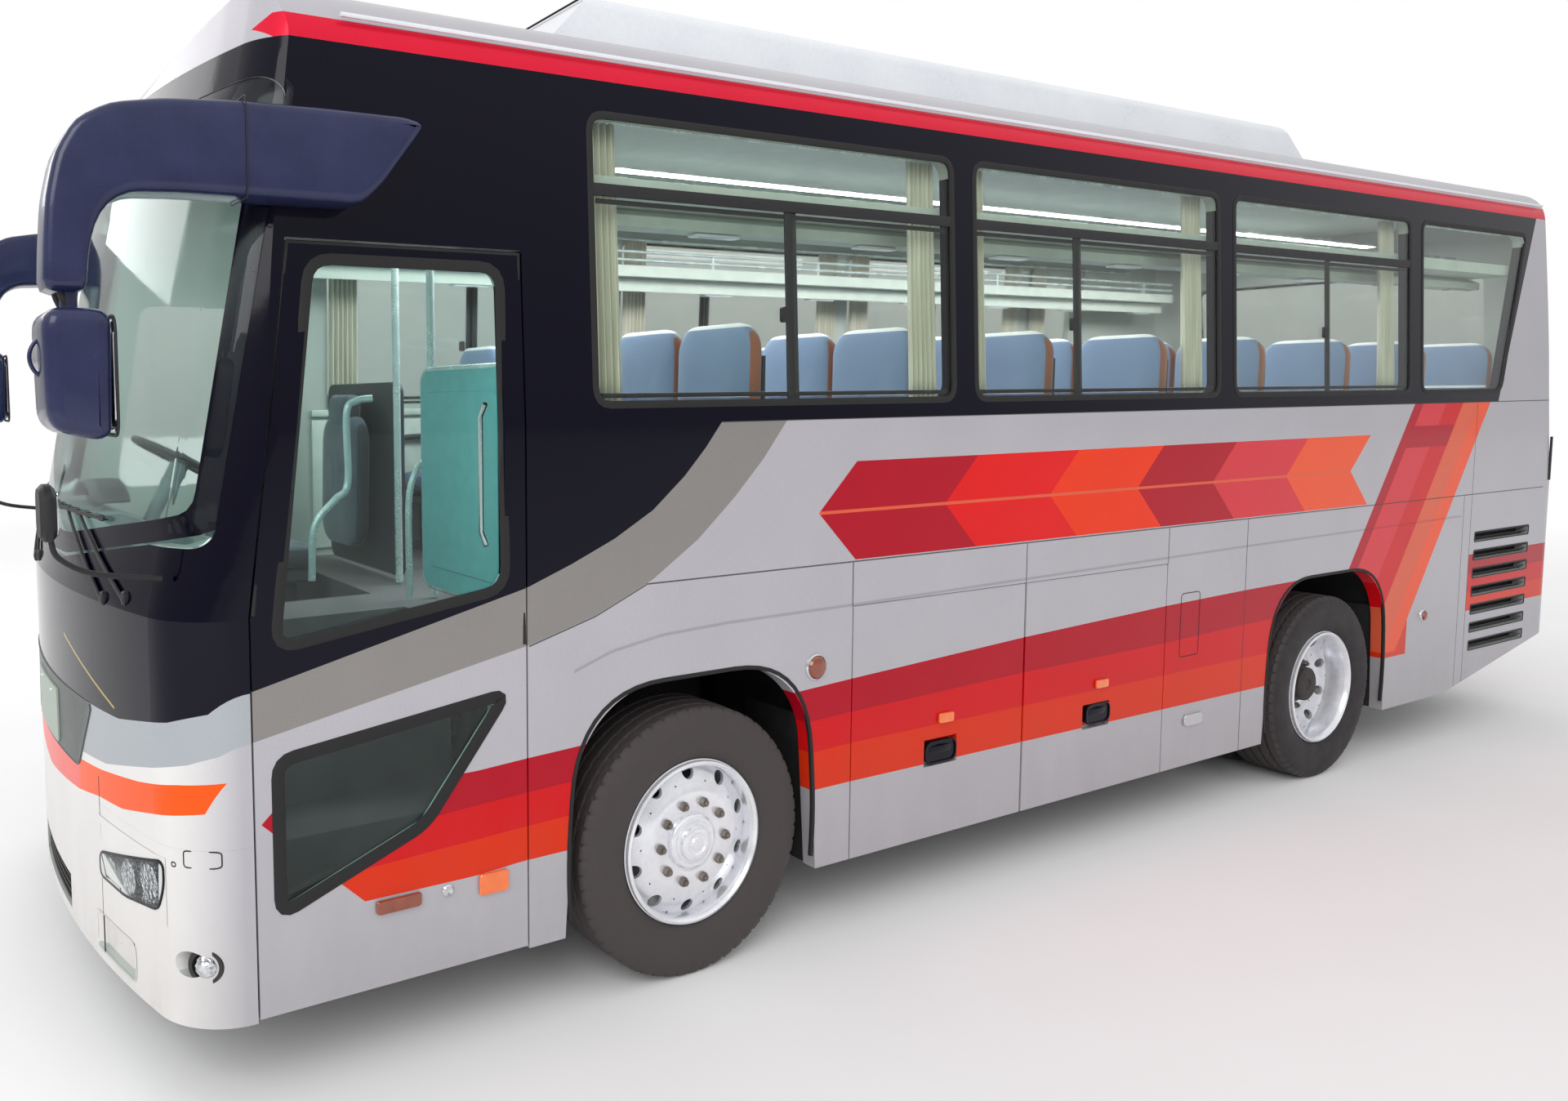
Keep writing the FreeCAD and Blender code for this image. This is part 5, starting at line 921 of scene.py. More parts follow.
def discPart(side, axle, profile, depth=0.014):
    # ten cells round the disc: in each, rings grow from the hole's circle to the cell's edge, which is
    # a box in angle and radius; two more rings go down the hole's wall
    step = 2 * math.pi / rimSet["holes"]
    middle, hole = rimSet["holeCircle"], rimSet["holeRadius"]
    around = loop(48) + step / 4
    reachUp = (rimSet["cellOuter"] - rimSet["cellInner"]) / 2
    centre = (rimSet["cellOuter"] + rimSet["cellInner"]) / 2
    reachAcross = step / 2 * middle
    box = 1 / np.maximum(np.abs(np.cos(around)) / reachAcross, np.abs(np.sin(around)) / reachUp)
    start = np.stack([np.cos(around) * hole, middle + np.sin(around) * hole], 1)
    edge = np.stack([np.cos(around) * box, centre + np.sin(around) * box], 1)
    share = np.concatenate([[0, 0], np.linspace(0, 1, 6)])[:, None, None]
    flat = start[None] * (1 - share) + edge[None] * share
    out = dish(profile, flat[..., 1])
    out[0] -= depth
    out[1] -= 0.003
    flat[1:2] = start * [1, 1] + (start - [0, middle]) * -0.02
    parts = []
    for number in range(rimSet["holes"]):
        angle = flat[..., 0] / middle + number * step
        parts.append(patch(np.stack([side * out, axle + flat[..., 1] * np.sin(angle),
                                     axleHeight + flat[..., 1] * np.cos(angle)], 2)))
        parts[-1]["around"] = True
    rings = [(side * dish(profile, r), r) for r in (0.06, 0.1, 0.106, 0.112, 0.14, 0.168, 0.176, 0.185, 0.198, 0.212)]
    inner = turned(rings, (0, axle, axleHeight), "x", 80)
    inner["caps"] = False
    return parts + [inner]


def barrel(side, axle, lipX, discEdge, back):
    # the lip rolls out from the disc's edge, the barrel runs in to the far flange
    lip = [(side * (lipX + place), r) for r, place in rimSet["lip"]]
    run = [(side * back, 0.295), (side * (back + 0.012), 0.286), (side * (back + 0.03), 0.278)]
    well = [(side * discEdge, 0.2715)] if abs(discEdge - lipX) > 0.02 else []
    joined = turned(run + well + lip, (0, axle, axleHeight), "x", 96)
    joined["caps"] = False
    return joined


for sideName, side in sides.items():
    parts = discPart(side, frontAxle, rimSet["frontDish"])
    parts.append(barrel(side, frontAxle, 1.168, 1.168, 0.986))
    makePiece(f"{sideName}FrontRim", parts, alloy, body=f"front_wheel_{sideName}", replaces=[f"front_rim_{sideName}"],
              smooth=50)
    parts = discPart(side, rearAxle, rimSet["rearDish"]) + [barrel(side, rearAxle, 1.169, 1.116, 0.984)]
    parts.append(barrel(side, rearAxle, 0.856, 0.856, 0.672))
    makePiece(f"{sideName}RearRims", parts, alloy, body=f"rear_wheels_{sideName}", replaces=[f"rear_rims_{sideName}"],
              smooth=50)


# Seats: crowned pads with sewn channels on a dark frame, covers over the heads
seatSet = {
    "start": -2.49, "pitch": 0.83, "rows": 8, "shortRows": 7, "inner": 0.265,
    "cushion": (0.415, 0.39, 0.13), "back": (0.415, 0.64, 0.1), "crown": 0.16, "top": 2.322,
}
print("seats")


def pad(outline, centre, across, up, thick, crown, channels=(), rings=8, power=5.0):
    # a closed pad: rings of the outline, s across and h high on a curve where s^n + h^n = 1,
    # crowned towards the middle, with a shallow groove at each channel
    outline = np.asarray(outline, float)
    turn = np.linspace(0.02, math.pi / 2, rings)
    size = np.sin(turn) ** (2 / power)
    lift = np.cos(turn) ** (2 / power)
    lift[-1] = 0
    size = np.concatenate([size, size[::-1][1:]])
    lift = np.concatenate([lift, -lift[::-1][1:]])
    flat = outline[None] * size[:, None, None]
    height = lift[:, None] * (1 + crown * (1 - size[:, None] ** 2)) * np.ones((1, len(outline)))
    for axis, place, width in channels:
        height -= np.sign(height) * 0.22 * np.exp(-((flat[..., axis] - place) / width) ** 2) * (size[:, None] < 0.99)
    across, up = np.asarray(across, float), np.asarray(up, float)
    normal = np.cross(across, up)
    points = (np.asarray(centre, float) + flat[..., :1] * across + flat[..., 1:] * up
              + height[..., None] * normal * thick / 2 / (1 + crown))
    return patch(points, True, caps=True)


def seatCloth(name, base, second, cover, coverFrom, wing):
    # woven cloth; above a height the back wears a pale cover with a white hem, its flanks another shade
    def build(g, place):
        x, y, z = g.split(place)
        weave = useGroup(g, clothWeave, {"Place": place, "Scale": 1400.0})
        blotch = g.ramp(g.noise(place, 16.0, 3, 0.5), 0.35, 0.65)
        colour = g.mix(blotch, shaded(base), shaded(second))
        colour = g.mix(weave["Tone"] * 0.3, colour, shaded(second))
        flank = abs(g.split(g.put("TexCoord", out="Normal"))[0]) > 0.72
        colour = g.mix(flank, colour, shaded(wing))
        hood = (z > coverFrom) & (1.0 - flank)
        colour = g.mix(hood, colour, shaded(cover))
        hem = (1.0 - flank) & ((z > 2.305) | g.between(z, coverFrom, coverFrom + 0.014))
        colour = g.mix(hem, colour, shaded((226, 228, 232)))
        return {"Base Color": colour, "Roughness": g.ramp(weave["Tone"], 0.0, 1.0, 0.75, 0.95),
                "Normal": g.bump(weave["Height"], 0.4, 0.0008)}
    return makeMaterial(name, build, Sheen_Weight=0.25, Sheen_Roughness=0.5)


seatFabric = seatCloth("seatFabric", (66, 84, 122), (88, 104, 140), (112, 134, 168), 2.05, (146, 84, 58))
driverFabric = seatCloth("driverFabric", (56, 66, 78), (72, 84, 96), (72, 84, 96), 9.0, (40, 46, 54))
cushions, backs, frames = [], [], []
seatPlan = [(side, row) for side in (1, -1)
            for row in range(seatSet["rows"]) if side > 0 or row != seatSet["shortRows"]]
wide, deep, high = seatSet["cushion"]
backWide, backHigh, backThick = seatSet["back"]
cushionOutline = roundedOutline(wide, deep, 0.07, 7)
backOutline = roundedOutline(backWide, backHigh, 0.1, 7)
for side, row in seatPlan:
    front = seatSet["start"] + seatSet["pitch"] * row
    for place in (0.235, 0.665):
        middle = side * (seatSet["inner"] + place)
        cushions.append(pad(cushionOutline, (middle, front + 0.2, 1.612), (1, 0, 0), (0, 0.998, -0.06), high,
                            seatSet["crown"], [(0, -0.12, 0.012), (0, 0.12, 0.012)]))
        backs.append(pad(backOutline, (middle, front + 0.398, seatSet["top"] - backHigh / 2), (1, 0, 0),
                         (0, 0.02, 0.9998),
                         backThick, 0.25, [(1, 0.06, 0.014), (1, -0.1, 0.014)]))
        frames.append(slab(roundedOutline(0.4, 0.36, 0.03) + [middle, front + 0.205], 1.505, 1.552, "z", 0.01))
        frames.append(bar([(middle, front + 0.452, 1.58), (middle, front + 0.456, 2.2)], 0.38, 0.014, (0, 1, 0),
                          0.006))
    for place in (0.015, 0.45, 0.885):
        x = side * (seatSet["inner"] + place)
        arm = [(x, front + 0.03, 1.82), (x, front + 0.06, 1.85), (x, front + 0.34, 1.85), (x, front + 0.42, 1.8)]
        frames.append(bar(curveThrough(arm, 4), 0.034, 0.03, (0, 0, 1), 0.012))
    for place in (0.12, 0.78):
        x = side * (seatSet["inner"] + place)
        frames.append(bar([(x, front + 0.21, 1.252), (x, front + 0.21, 1.51)], 0.05, 0.24, (0, 1, 0), 0.01))
seatCushions = makePiece("seatCushions", cushions, seatFabric, smooth=60)
seatBacks = makePiece("seatBacks", backs, seatFabric, replaces=["passenger_seats"], smooth=60)
makePiece("seatFrames", frames, darkPlastic)

low, high3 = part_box("driver_seat")
driverX, driverFront, driverBack = (low.x + high3.x) / 2, low.y, high3.y
driverPads = [
    pad(roundedOutline(0.46, 0.4, 0.08, 7), (driverX, driverFront + 0.21, low.z + 0.37), (1, 0, 0), (0, 0.998, -0.06),
        0.12, 0.16, [(0, -0.15, 0.012), (0, 0.15, 0.012)]),
    pad(roundedOutline(0.44, 0.6, 0.11, 7), (driverX, driverBack - 0.062, high3.z - 0.4), (1, 0, 0),
        (0, 0.03, 0.9995),
        0.105, 0.25, [(1, 0.1, 0.014), (1, -0.08, 0.014)]),
    pad(roundedOutline(0.26, 0.15, 0.05, 6), (driverX, driverBack - 0.058, high3.z - 0.078), (1, 0, 0),
        (0, 0.03, 0.9995),
        0.085, 0.2),
]
driverSeat = makePiece("driverSeatPads", driverPads, driverFabric, replaces=["driver_seat"], smooth=60)
pedestal = [slab(roundedOutline(0.42, 0.38, 0.04) + [driverX, driverFront + 0.21], low.z + 0.25, low.z + 0.31, "z",
                 0.012),
            slab(roundedOutline(0.26, 0.24, 0.04) + [driverX, driverFront + 0.22], low.z + 0.002, low.z + 0.25, "z",
                 0.01)]
makePiece("driverSeatBase", pedestal, darkPlastic)


# Curtains: cloth gathered in pleats at the window ends, hung from a slim rail
curtainSet = {"head": 2.955, "foot": 1.985, "inset": 0.082, "gathered": 0.15, "pleats": 6, "depth": 0.016}
print("curtains")


def curtainBuild(g, place):
    weave = useGroup(g, clothWeave, {"Place": place, "Scale": 1800.0})
    stripe = g.ramp(g.noise(g.scaled(place, 1.0, 1.0, 0.05), 34.0, 3, 0.5), 0.35, 0.65)
    colour = g.mix(stripe, shaded((196, 192, 176)), shaded((222, 218, 204)))
    return {"Base Color": g.mix(weave["Tone"] * 0.2, colour, shaded((170, 166, 150))),
            "Roughness": g.ramp(weave["Tone"], 0.0, 1.0, 0.75, 0.92), "Normal": g.bump(weave["Height"], 0.3, 0.0008)}


curtainCloth = makeMaterial("curtainCloth", curtainBuild, Sheen_Weight=0.2, Sheen_Roughness=0.5)


def curtain(name, start, side):
    # pleats are a sine along the window that deepens a little towards the foot
    along = np.linspace(0, 1, curtainSet["pleats"] * 10 + 1)
    down = np.linspace(0, 1, 9)[:, None]
    z = curtainSet["head"] + (curtainSet["foot"] - curtainSet["head"]) * down + 0 * along
    wave = np.sin(along * curtainSet["pleats"] * 2 * math.pi) * curtainSet["depth"] * (0.75 + 0.25 * down)
    x = side * (sideAt(z) - curtainSet["inset"] + wave)
    y = start + curtainSet["gathered"] * along + 0.01 * down * (along - 0.5)
    points = np.stack([x, y + 0 * z, z], 2)
    piece = makePiece(name, [patch(points)], curtainCloth, smooth=60)
    wall = piece.modifiers.new("cloth", "SOLIDIFY")
    wall.thickness, wall.offset = 0.0015, 0.0


for sideName, side in sides.items():
    rail = onSide([(-2.86, 2.965), (3.8, 2.965)], -0.082, side)
    makePiece(f"{sideName}CurtainRail", [bar(rail, 0.012, 0.016, (0, 0, 1), 0.003)], steelTube)
    for number, (start, end) in enumerate(windowSet["openings"]):
        curtain(f"{sideName}CurtainFront{number}", start + 0.005, side)
        curtain(f"{sideName}CurtainRear{number}", end - 0.16, side)
    curtain(f"{sideName}CurtainQuarter", 2.64, side)


# Cabin lining: ceiling, ducts with lamps, window ledges and rack rails; then partitions and handrails
liningSet = {"front": -3.92, "back": 4.14, "ceilingHalf": 0.86, "ceiling": 3.035}
print("cabin lining")
across = np.linspace(-1, 1, 25)
ends = np.linspace(liningSet["front"], liningSet["back"], 12)
arch = liningSet["ceiling"] + 0.085 * np.sqrt(np.clip(1 - (across * 0.98) ** 2, 0, 1))
ceiling = np.stack([np.broadcast_to(across * liningSet["ceilingHalf"], (12, 25)),
                    np.broadcast_to(ends[:, None], (12, 25)),
                    np.broadcast_to(arch, (12, 25))], 2)
lining = makePiece("ceilingLining", [patch(ceiling)], liningPale, smooth=60)
thick = lining.modifiers.new("board", "SOLIDIFY")
thick.thickness = 0.006
ledges, lamps, rails = [], [], []
rackLow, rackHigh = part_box("luggage_racks")
for side in (1, -1):
    ledges.append(bar([(side * 1.172, -2.95, 1.985), (side * 1.172, 3.95, 1.985)], 0.018, 0.035, (0, 0, 1), 0.006))
    ledges.append(bar([(side * 1.176, -2.95, 1.62), (side * 1.176, 3.95, 1.62)], 0.012, 0.66, (0, 0, 1), 0.004))
    duct = np.array([(0.0, 0.0), (0.07, 0.006), (0.07, 0.045), (0.03, 0.07), (0.0, 0.07)]) - [0.035, 0.035]
    path = [(side * 0.96, rackLow.y + 0.02, rackLow.z - 0.04), (side * 0.96, rackHigh.y - 0.02, rackLow.z - 0.04)]
    ledges.append(carried(duct * [side, 1], path, (0, 0, 1)))
    for y in np.arange(seatSet["start"] + 0.35, rackHigh.y - 0.2, seatSet["pitch"]):
        lamps.append(slab(roundedOutline(0.05, 0.22, 0.014) + [side * 0.96, y], rackLow.z - 0.084, rackLow.z - 0.074,
                          "z",
                          0.003))
    for height in (0.03, 0.075):
        rails.append(tube([(side * 0.862, rackLow.y + 0.01, rackHigh.z + height),
                           (side * 0.862, rackHigh.y - 0.01, rackHigh.z + height)], 0.008))
    for y in np.arange(rackLow.y + 0.05, rackHigh.y, 0.83):
        rails.append(tube([(side * 0.862, y, rackHigh.z - 0.01), (side * 0.862, y, rackHigh.z + 0.075)], 0.006,
                          (0, 1, 0)))
makePiece("cabinLedges", ledges, liningPale)
makePiece("rackLamps", lamps, roofPaint)
makePiece("rackRails", rails, steelTube)

railSet = {"stairRail": [(0.3, -3.5, 1.38), (0.3, -3.485, 1.58), (0.3, -3.4, 1.68), (0.28, -3.34, 1.74),
                         (0.28, -3.34, 2.0), (0.28, -3.3, 2.05), (0.3, -3.24, 2.06)],
           "panel": [(0.47, 1.1), (1.36, 2.16)], "panelY": -3.105}
print("handrails and partitions")
(left, right3), (foot, top) = railSet["panel"]
panelOutline = roundedOutline(right3 - left, top - foot, 0.05, 6) + [(left + right3) / 2, (foot + top) / 2]
inset = roundedOutline(right3 - left - 0.1, top - foot - 0.16, 0.03, 5) + [(left + right3) / 2, (foot + top) / 2]
panel = [slab(panelOutline, railSet["panelY"] - 0.014, railSet["panelY"] + 0.014, "y", 0.005),
         slab(inset, railSet["panelY"] - 0.019, railSet["panelY"] - 0.013, "y", 0.002)]
guard = [slab(roundedOutline(0.86, 0.86, 0.05, 6) + [-0.62, 1.7], -2.905, -2.88, "y", 0.005)]
makePiece("stairPanel", panel, tealPanel)
makePiece("driverGuard", guard, darkPlastic)
rim = setAt(panelOutline, railSet["panelY"], "y")
handrails = [tube(curveThrough(railSet["stairRail"], 6), 0.014, (1, 0, 0)), tube(rim, 0.013, (0, 1, 0), closed=True),
             tube(curveThrough([(0.44, -3.16, 1.3), (0.44, -3.16, 1.66), (0.44, -3.13, 1.78), (0.46, -3.11, 1.82)],
                               6), 0.013,
                  (1, 0, 0)),
             tube([(0.22, -2.95, 1.26), (0.22, -2.95, 3.03)], 0.016, (0, 1, 0)),
             tube([(-0.16, -2.93, 1.26), (-0.16, -2.93, 3.03)], 0.016, (0, 1, 0)),
             tube(curveThrough([(0.15, -2.0, 2.93), (0.15, 0.5, 2.93), (0.15, 3.6, 2.93)], 8), 0.012, (0, 0, 1))]
makePiece("handrails", handrails, steelTube)

# Driver's place: a hood over the dials, and the slots and keys in the middle of the dashboard
dashSet = {"hood": (-0.62, -4.075, 1.655), "dials": [(-0.74, 0.058), (-0.6, 0.058), (-0.49, 0.04)]}
print("driver's place")
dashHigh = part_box("dashboard")[1]
hx, hy, hz = dashSet["hood"]
angle = np.linspace(0.06, 0.94, 17) * math.pi
hoodArc = np.stack([0.27 * np.cos(angle), 0.1 * np.sin(angle)], 1)
hood = [setAt(hoodArc * grow + [hx, hz - 0.02], y, "y")
        for y, grow in ((hy - 0.1, 0.92), (hy - 0.05, 1.0), (hy + 0.02, 1.0), (hy + 0.05, 0.97), (hy + 0.02, 0.9),
                        (hy - 0.09, 0.84))]
hoodPiece = makePiece("dialHood", [patch(hood)], darkPlastic, smooth=60)
skin = hoodPiece.modifiers.new("skin", "SOLIDIFY")
skin.thickness = 0.004
dials = []
for x, radius in dashSet["dials"]:
    dials.append(turned([(0.0, radius), (0.006, radius), (0.01, radius * 0.9), (0.004, radius * 0.86),
                         (0.003, 0.002)],
                        (x, hy - 0.055, hz + 0.012), "y", 28))
makePiece("dialFaces", dials, blackGloss)
slots, keys = [], []
face = dashHigh.y - 0.001
for x, z, width, height in ((0.32, 1.4, 0.46, 0.085), (0.36, 1.275, 0.34, 0.03), (0.3, 1.5, 0.3, 0.02)):
    slots.append(slab(roundedOutline(width, height, min(0.015, height / 2.3)) + [x, z], face - 0.01, face + 0.002,
                      "y"))
for x in np.linspace(-0.28, 0.02, 6):
    keys.append(slab(roundedOutline(0.036, 0.024, 0.006) + [x, 1.46], face - 0.004, face + 0.006, "y", 0.002))
makePiece("dashSlots", slots, blackGloss)
makePiece("dashKeys", keys, liningPale)


# Nose: lamps behind clear covers, fog lamps, the blank plate in its panel, seams and small marks
# each end in plan: tip, arc and corner radius, and how far it leans back per metre of height
endSet = {-1: (-4.41, 4.0, 0.25, 0.1979), 1: (4.58, 9.0, 0.22, 0.1608)}
noseSet = {
    "corner": 0.25, "half": flank["half"], "leanFoot": 1.45,
    "lamp": [(0.664, 0.642), (0.86, 0.69), (1.1, 0.752), (1.1, 0.676), (1.072, 0.6), (0.86, 0.568), (0.664, 0.568)],
    "pocket": rectangle(0.655, 0.762, 1.108, 0.56), "foot": rectangle(0.6, 0.44, 0.92, 0.308),
    "bowls": [(0.742, 0.612, 0.038), (0.866, 0.628, 0.052), (1.0, 0.662, 0.054)],
    "panel": [(-0.64, 1.108), (0.64, 1.108), (0.48, 0.866), (-0.48, 0.866)],
    "plate": (0.0, 0.975, 0.44, 0.19),
    "middleFoot": (0.308, 0.308, 0.442),
    "fog": (1.196, 0.462, 0.034), "marker": (1.163, 1.227, 0.75, 0.798),
}
print("nose")


def endAt(x, z=0.0, facing=-1):
    # an end in plan: a wide arc, then a quarter-round corner that meets the flank; it leans above its foot
    tip, arc, corner, lean = endSet[facing]
    x = np.minimum(np.abs(np.asarray(x, float)), noseSet["half"] - 1e-4)
    centreX = noseSet["half"] - corner
    centreOff = arc - math.sqrt((arc - corner) ** 2 - centreX ** 2)
    wide = arc - np.sqrt(arc ** 2 - x ** 2)
    tight = centreOff - np.sqrt(np.maximum(corner ** 2 - np.maximum(x - centreX, 0) ** 2, 0))
    depth = np.where(x < centreX * arc / (arc - corner), wide, tight)
    return tip - facing * (depth + lean * np.maximum(np.asarray(z, float) - noseSet["leanFoot"], 0))


def onEnd(outline, out=0.0, facing=-1):
    # points (x, z) set on the nose or the tail, out metres proud of it
    outline = np.asarray(outline, float)
    return np.stack([outline[..., 0], endAt(outline[..., 0], outline[..., 1], facing) + facing * out,
                     outline[..., 1]], -1)


def endBar(outline, out, width, height, radius, facing=-1, closed=False):
    # a bar along a line on the nose or the tail
    return bar(onEnd(outline, out, facing), width, height, (0, facing, 0), radius, closed)


def dense(outline, count=120):
    # the same closed outline with evenly spread points
    closed = np.concatenate([outline, outline[:1]])
    lengths = np.concatenate([[0], np.cumsum(np.linalg.norm(np.diff(closed, axis=0), axis=1))])
    steps = np.linspace(0, lengths[-1], count, endpoint=False)
    return np.stack([np.interp(steps, lengths, closed[:, axis]) for axis in range(2)], 1)


def dishOn(outline, rings, facing=-1):
    # an outline drawn in ring by ring: each ring is (size, how far out of the end it stands)
    outline = dense(np.asarray(outline, float))
    middle = outline.mean(0)
    places = np.arange(len(rings))
    steps = np.linspace(0, len(rings) - 1, 4 * len(rings) - 3)
    size, out = (np.interp(steps, places, column) for column in np.array(rings).T)
    flat = middle + (outline - middle)[None] * size[:, None, None]
    points = onEnd(flat, 0.0, facing)
    points[..., 1] += facing * out[:, None]
    return patch(points, True)


def reachOf(outline, centre, angles):
    # how far each ray from the centre runs before it meets the outline, found edge by edge
    start = np.asarray(outline, float) - centre
    edge = np.roll(start, -1, 0) - start
    c, s = np.cos(angles)[:, None], np.sin(angles)[:, None]
    cross = c * edge[:, 1] - s * edge[:, 0]
    cross = np.where(np.abs(cross) < 1e-9, 1e-9, cross)
    far = (start[:, 0] * edge[:, 1] - start[:, 1] * edge[:, 0]) / cross
    share = (start[:, 0] * s - start[:, 1] * c) / cross
    good = (far > 0) & (share > -1e-6) & (share < 1 + 1e-6)
    return np.where(good, far, np.inf).min(1)


def frameOn(inner, outer, out):
    # a flat panel on the nose between two outlines
    centre = np.asarray(inner, float).mean(0)
    corners = np.asarray(outer, float) - centre
    angles = np.sort(np.concatenate([loop(72), np.arctan2(corners[:, 1], corners[:, 0]) % (2 * math.pi)]))
    ray = np.stack([np.cos(angles), np.sin(angles)], 1)
    near = centre + ray * reachOf(inner, centre, angles)[:, None]
    far = centre + ray * reachOf(outer, centre, angles)[:, None]
    points = onEnd(np.stack([near + (near - centre) * -0.02, near, near * 0.5 + far * 0.5, far]))
    points[..., 1] -= np.array([-0.012, out, out, out])[:, None]
    return patch(points, True)


def swung(part, centre, angle):
    # turned about an upright through centre
    points = part["points"] - np.asarray(centre, float)
    c, s = math.cos(angle), math.sin(angle)
    x, y = points[..., 0] * c - points[..., 1] * s, points[..., 0] * s + points[..., 1] * c
    return {**part, "points": np.stack([x, y, points[..., 2]], -1) + np.asarray(centre, float)}


lampGlass = glassy("lampGlass", (246, 250, 250), (248, 250, 250))
facetChrome = makeMaterial("facetChrome", lambda g, place: {
    "Base Color": g.mix(g.put("TexVoronoi", {"Vector": place, "Scale": 70.0}), shaded((150, 152, 158)),
                        shaded((236, 238, 240))),
    "Roughness": g.ramp(g.noise(place, 120.0), 0.3, 0.7, 0.06, 0.16),
    "Normal": g.bump(g.put("TexVoronoi", {"Vector": place, "Scale": 62.0}), 0.8, 0.006),
}, Metallic=1.0)
panelShade = grainy("panelShade", (52, 60, 58), (66, 74, 70), 90, 0.0008, (0.3, 0.45))
plateBlank = grainy("plateBlank", (156, 168, 158), (172, 182, 172), 50, 0.0008, (0.4, 0.55), metallic=0.2)
for sideName, side in sides.items():
    outline = smoothCorners(np.array(noseSet["lamp"]) * [side, 1], 0.03, 6)
    shell = [dishOn(outline, [(1.0, 0.001), (0.985, -0.012), (0.93, -0.034), (0.6, -0.046), (0.02, -0.046)])]
    for x, z, radius in noseSet["bowls"]:
        y = float(endAt(x)) + 0.04
        bowl = [(-0.03, radius), (-0.032, radius * 0.94), (-0.016, radius * 0.8), (-0.004, radius * 0.5),
                (0.0, radius * 0.22), (-0.016, radius * 0.18), (-0.022, 0.001)]
        shell.append(swung(turned(bowl, (side * x, y, z), "y", 36), (side * x, y, z), side * x * 0.25))
    makePiece(f"{sideName}LampShell", shell, facetChrome, smooth=40)
    dark = [endBar(outline, 0.001, 0.01, 0.008, 0.003, closed=True)]
    dark.append(endBar([(side * 0.668, 0.735), (side * 0.668, 0.645), (side * 0.712, 0.578), (side * 0.83, 0.574)],
                       -0.006, 0.022, 0.012, 0.004))
    makePiece(f"{sideName}LampRim", dark, blackGloss)
    cover = dishOn(outline, [(1.0, 0.002), (0.97, 0.005), (0.7, 0.006), (0.35, 0.006), (0.03, 0.006)])
    makePiece(f"{sideName}LampCover", [cover], lampGlass, replaces=["headlamps"] if side > 0 else ())
    x, z, radius = noseSet["fog"]
    centre = (side * x, float(endAt(x)) + 0.01, z)
    lens = turned([(0.01, radius), (-0.004, radius * 0.98), (-0.012, radius * 0.7), (-0.015, 0.001)], centre, "y", 32)
    hollow = turned([(0.03, radius * 1.5), (0.004, radius * 1.62), (-0.004, radius * 1.5), (-0.004, radius * 1.2),
                     (0.012, radius * 1.05), (0.014, radius * 0.9)], centre, "y", 40)
    hollow["caps"] = False
    turn = side * math.asin((x - 0.995) / noseSet["corner"])
    makePiece(f"{sideName}FogLens", [swung(lens, centre, turn)], facetChrome, smooth=50)
    makePiece(f"{sideName}FogHollow", [swung(hollow, centre, turn)], blackTrim, smooth=50)
    x0, x1, z0, z1 = noseSet["marker"]
    box = smoothCorners(rectangle(side * x0, z0, side * x1, z1), 0.01)
    marks = [endBar(box, -0.001, 0.004, 0.004, 0.001, closed=True)]
    for low, high in ((0.31, 0.56), (0.65, 0.885)):
        seam = np.stack([np.full(12, side * 0.668), np.linspace(low, high, 12)], 1)
        marks.append(endBar(seam, -0.0015, 0.004, 0.004, 0.001))
    dot = roundedOutline(0.012, 0.012, 0.004) + [side * 1.135, 0.752]
    marks.append(endBar(dot, -0.001, 0.004, 0.004, 0.001, closed=True))
    makePiece(f"{sideName}NoseMarks", marks, blackTrim)
for sideName, side in sides.items():
    lamp = smoothCorners(np.array(noseSet["lamp"]) * [side, 1], 0.03, 6)
    fill = [frameOn(lamp, noseSet["pocket"] * [side, 1], 0.0012)]
    foot = smoothCorners(noseSet["foot"] * [side, 1], 0.04, 6)
    fill.append(dishOn(foot,
                       [(1.0, 0.0012), (0.97, 0.0012), (0.88, -0.01), (0.7, -0.018), (0.4, -0.02), (0.02, -0.02)]))
    makePiece(f"{sideName}BumperPanels", fill, paintNose, smooth=60)
reach, low, high = noseSet["middleFoot"]
slats = []
for z in np.linspace(low + 0.018, high - 0.018, 5):
    slats.append(bar(onEnd(levelRun(-reach, reach, z, 24), -0.022), 0.03, 0.007, (0, 0.3, 1), 0.002))
# painted shade: a dark sheet behind the slats stands in for the shade inside the intake
back = levelRun(-reach, reach, (low + high) / 2, 24)
slats.append(bar(onEnd(back, -0.052), 0.006, high - low, (0, 0, 1), 0.001))
makePiece("bumperGrille", slats, blackTrim)
recess = dishOn(smoothCorners(noseSet["panel"], 0.03),
                [(1.0, 0.0), (0.99, 0.004), (0.97, 0.002), (0.7, 0.002), (0.4, 0.002), (0.02, 0.002)])
makePiece("platePanel", [recess], panelShade, smooth=50)
x, z, width, height = noseSet["plate"]
plateOutline = roundedOutline(width, height, 0.012) + [x, z]
makePiece("blankPlate",
          [dishOn(plateOutline, [(1.0, 0.002), (1.0, 0.008), (0.98, 0.009), (0.6, 0.008), (0.02, 0.008)])],
          plateBlank, smooth=40)
bolts = []
for shift in (-0.12, 0.12):
    place = (x + shift, float(endAt(x + shift)) - 0.008, z + 0.07)
    bolts.append(turned([(0.0, 0.007), (-0.004, 0.006), (-0.005, 0.001)], place, "y", 12))
makePiece("plateBolts", bolts, chrome)


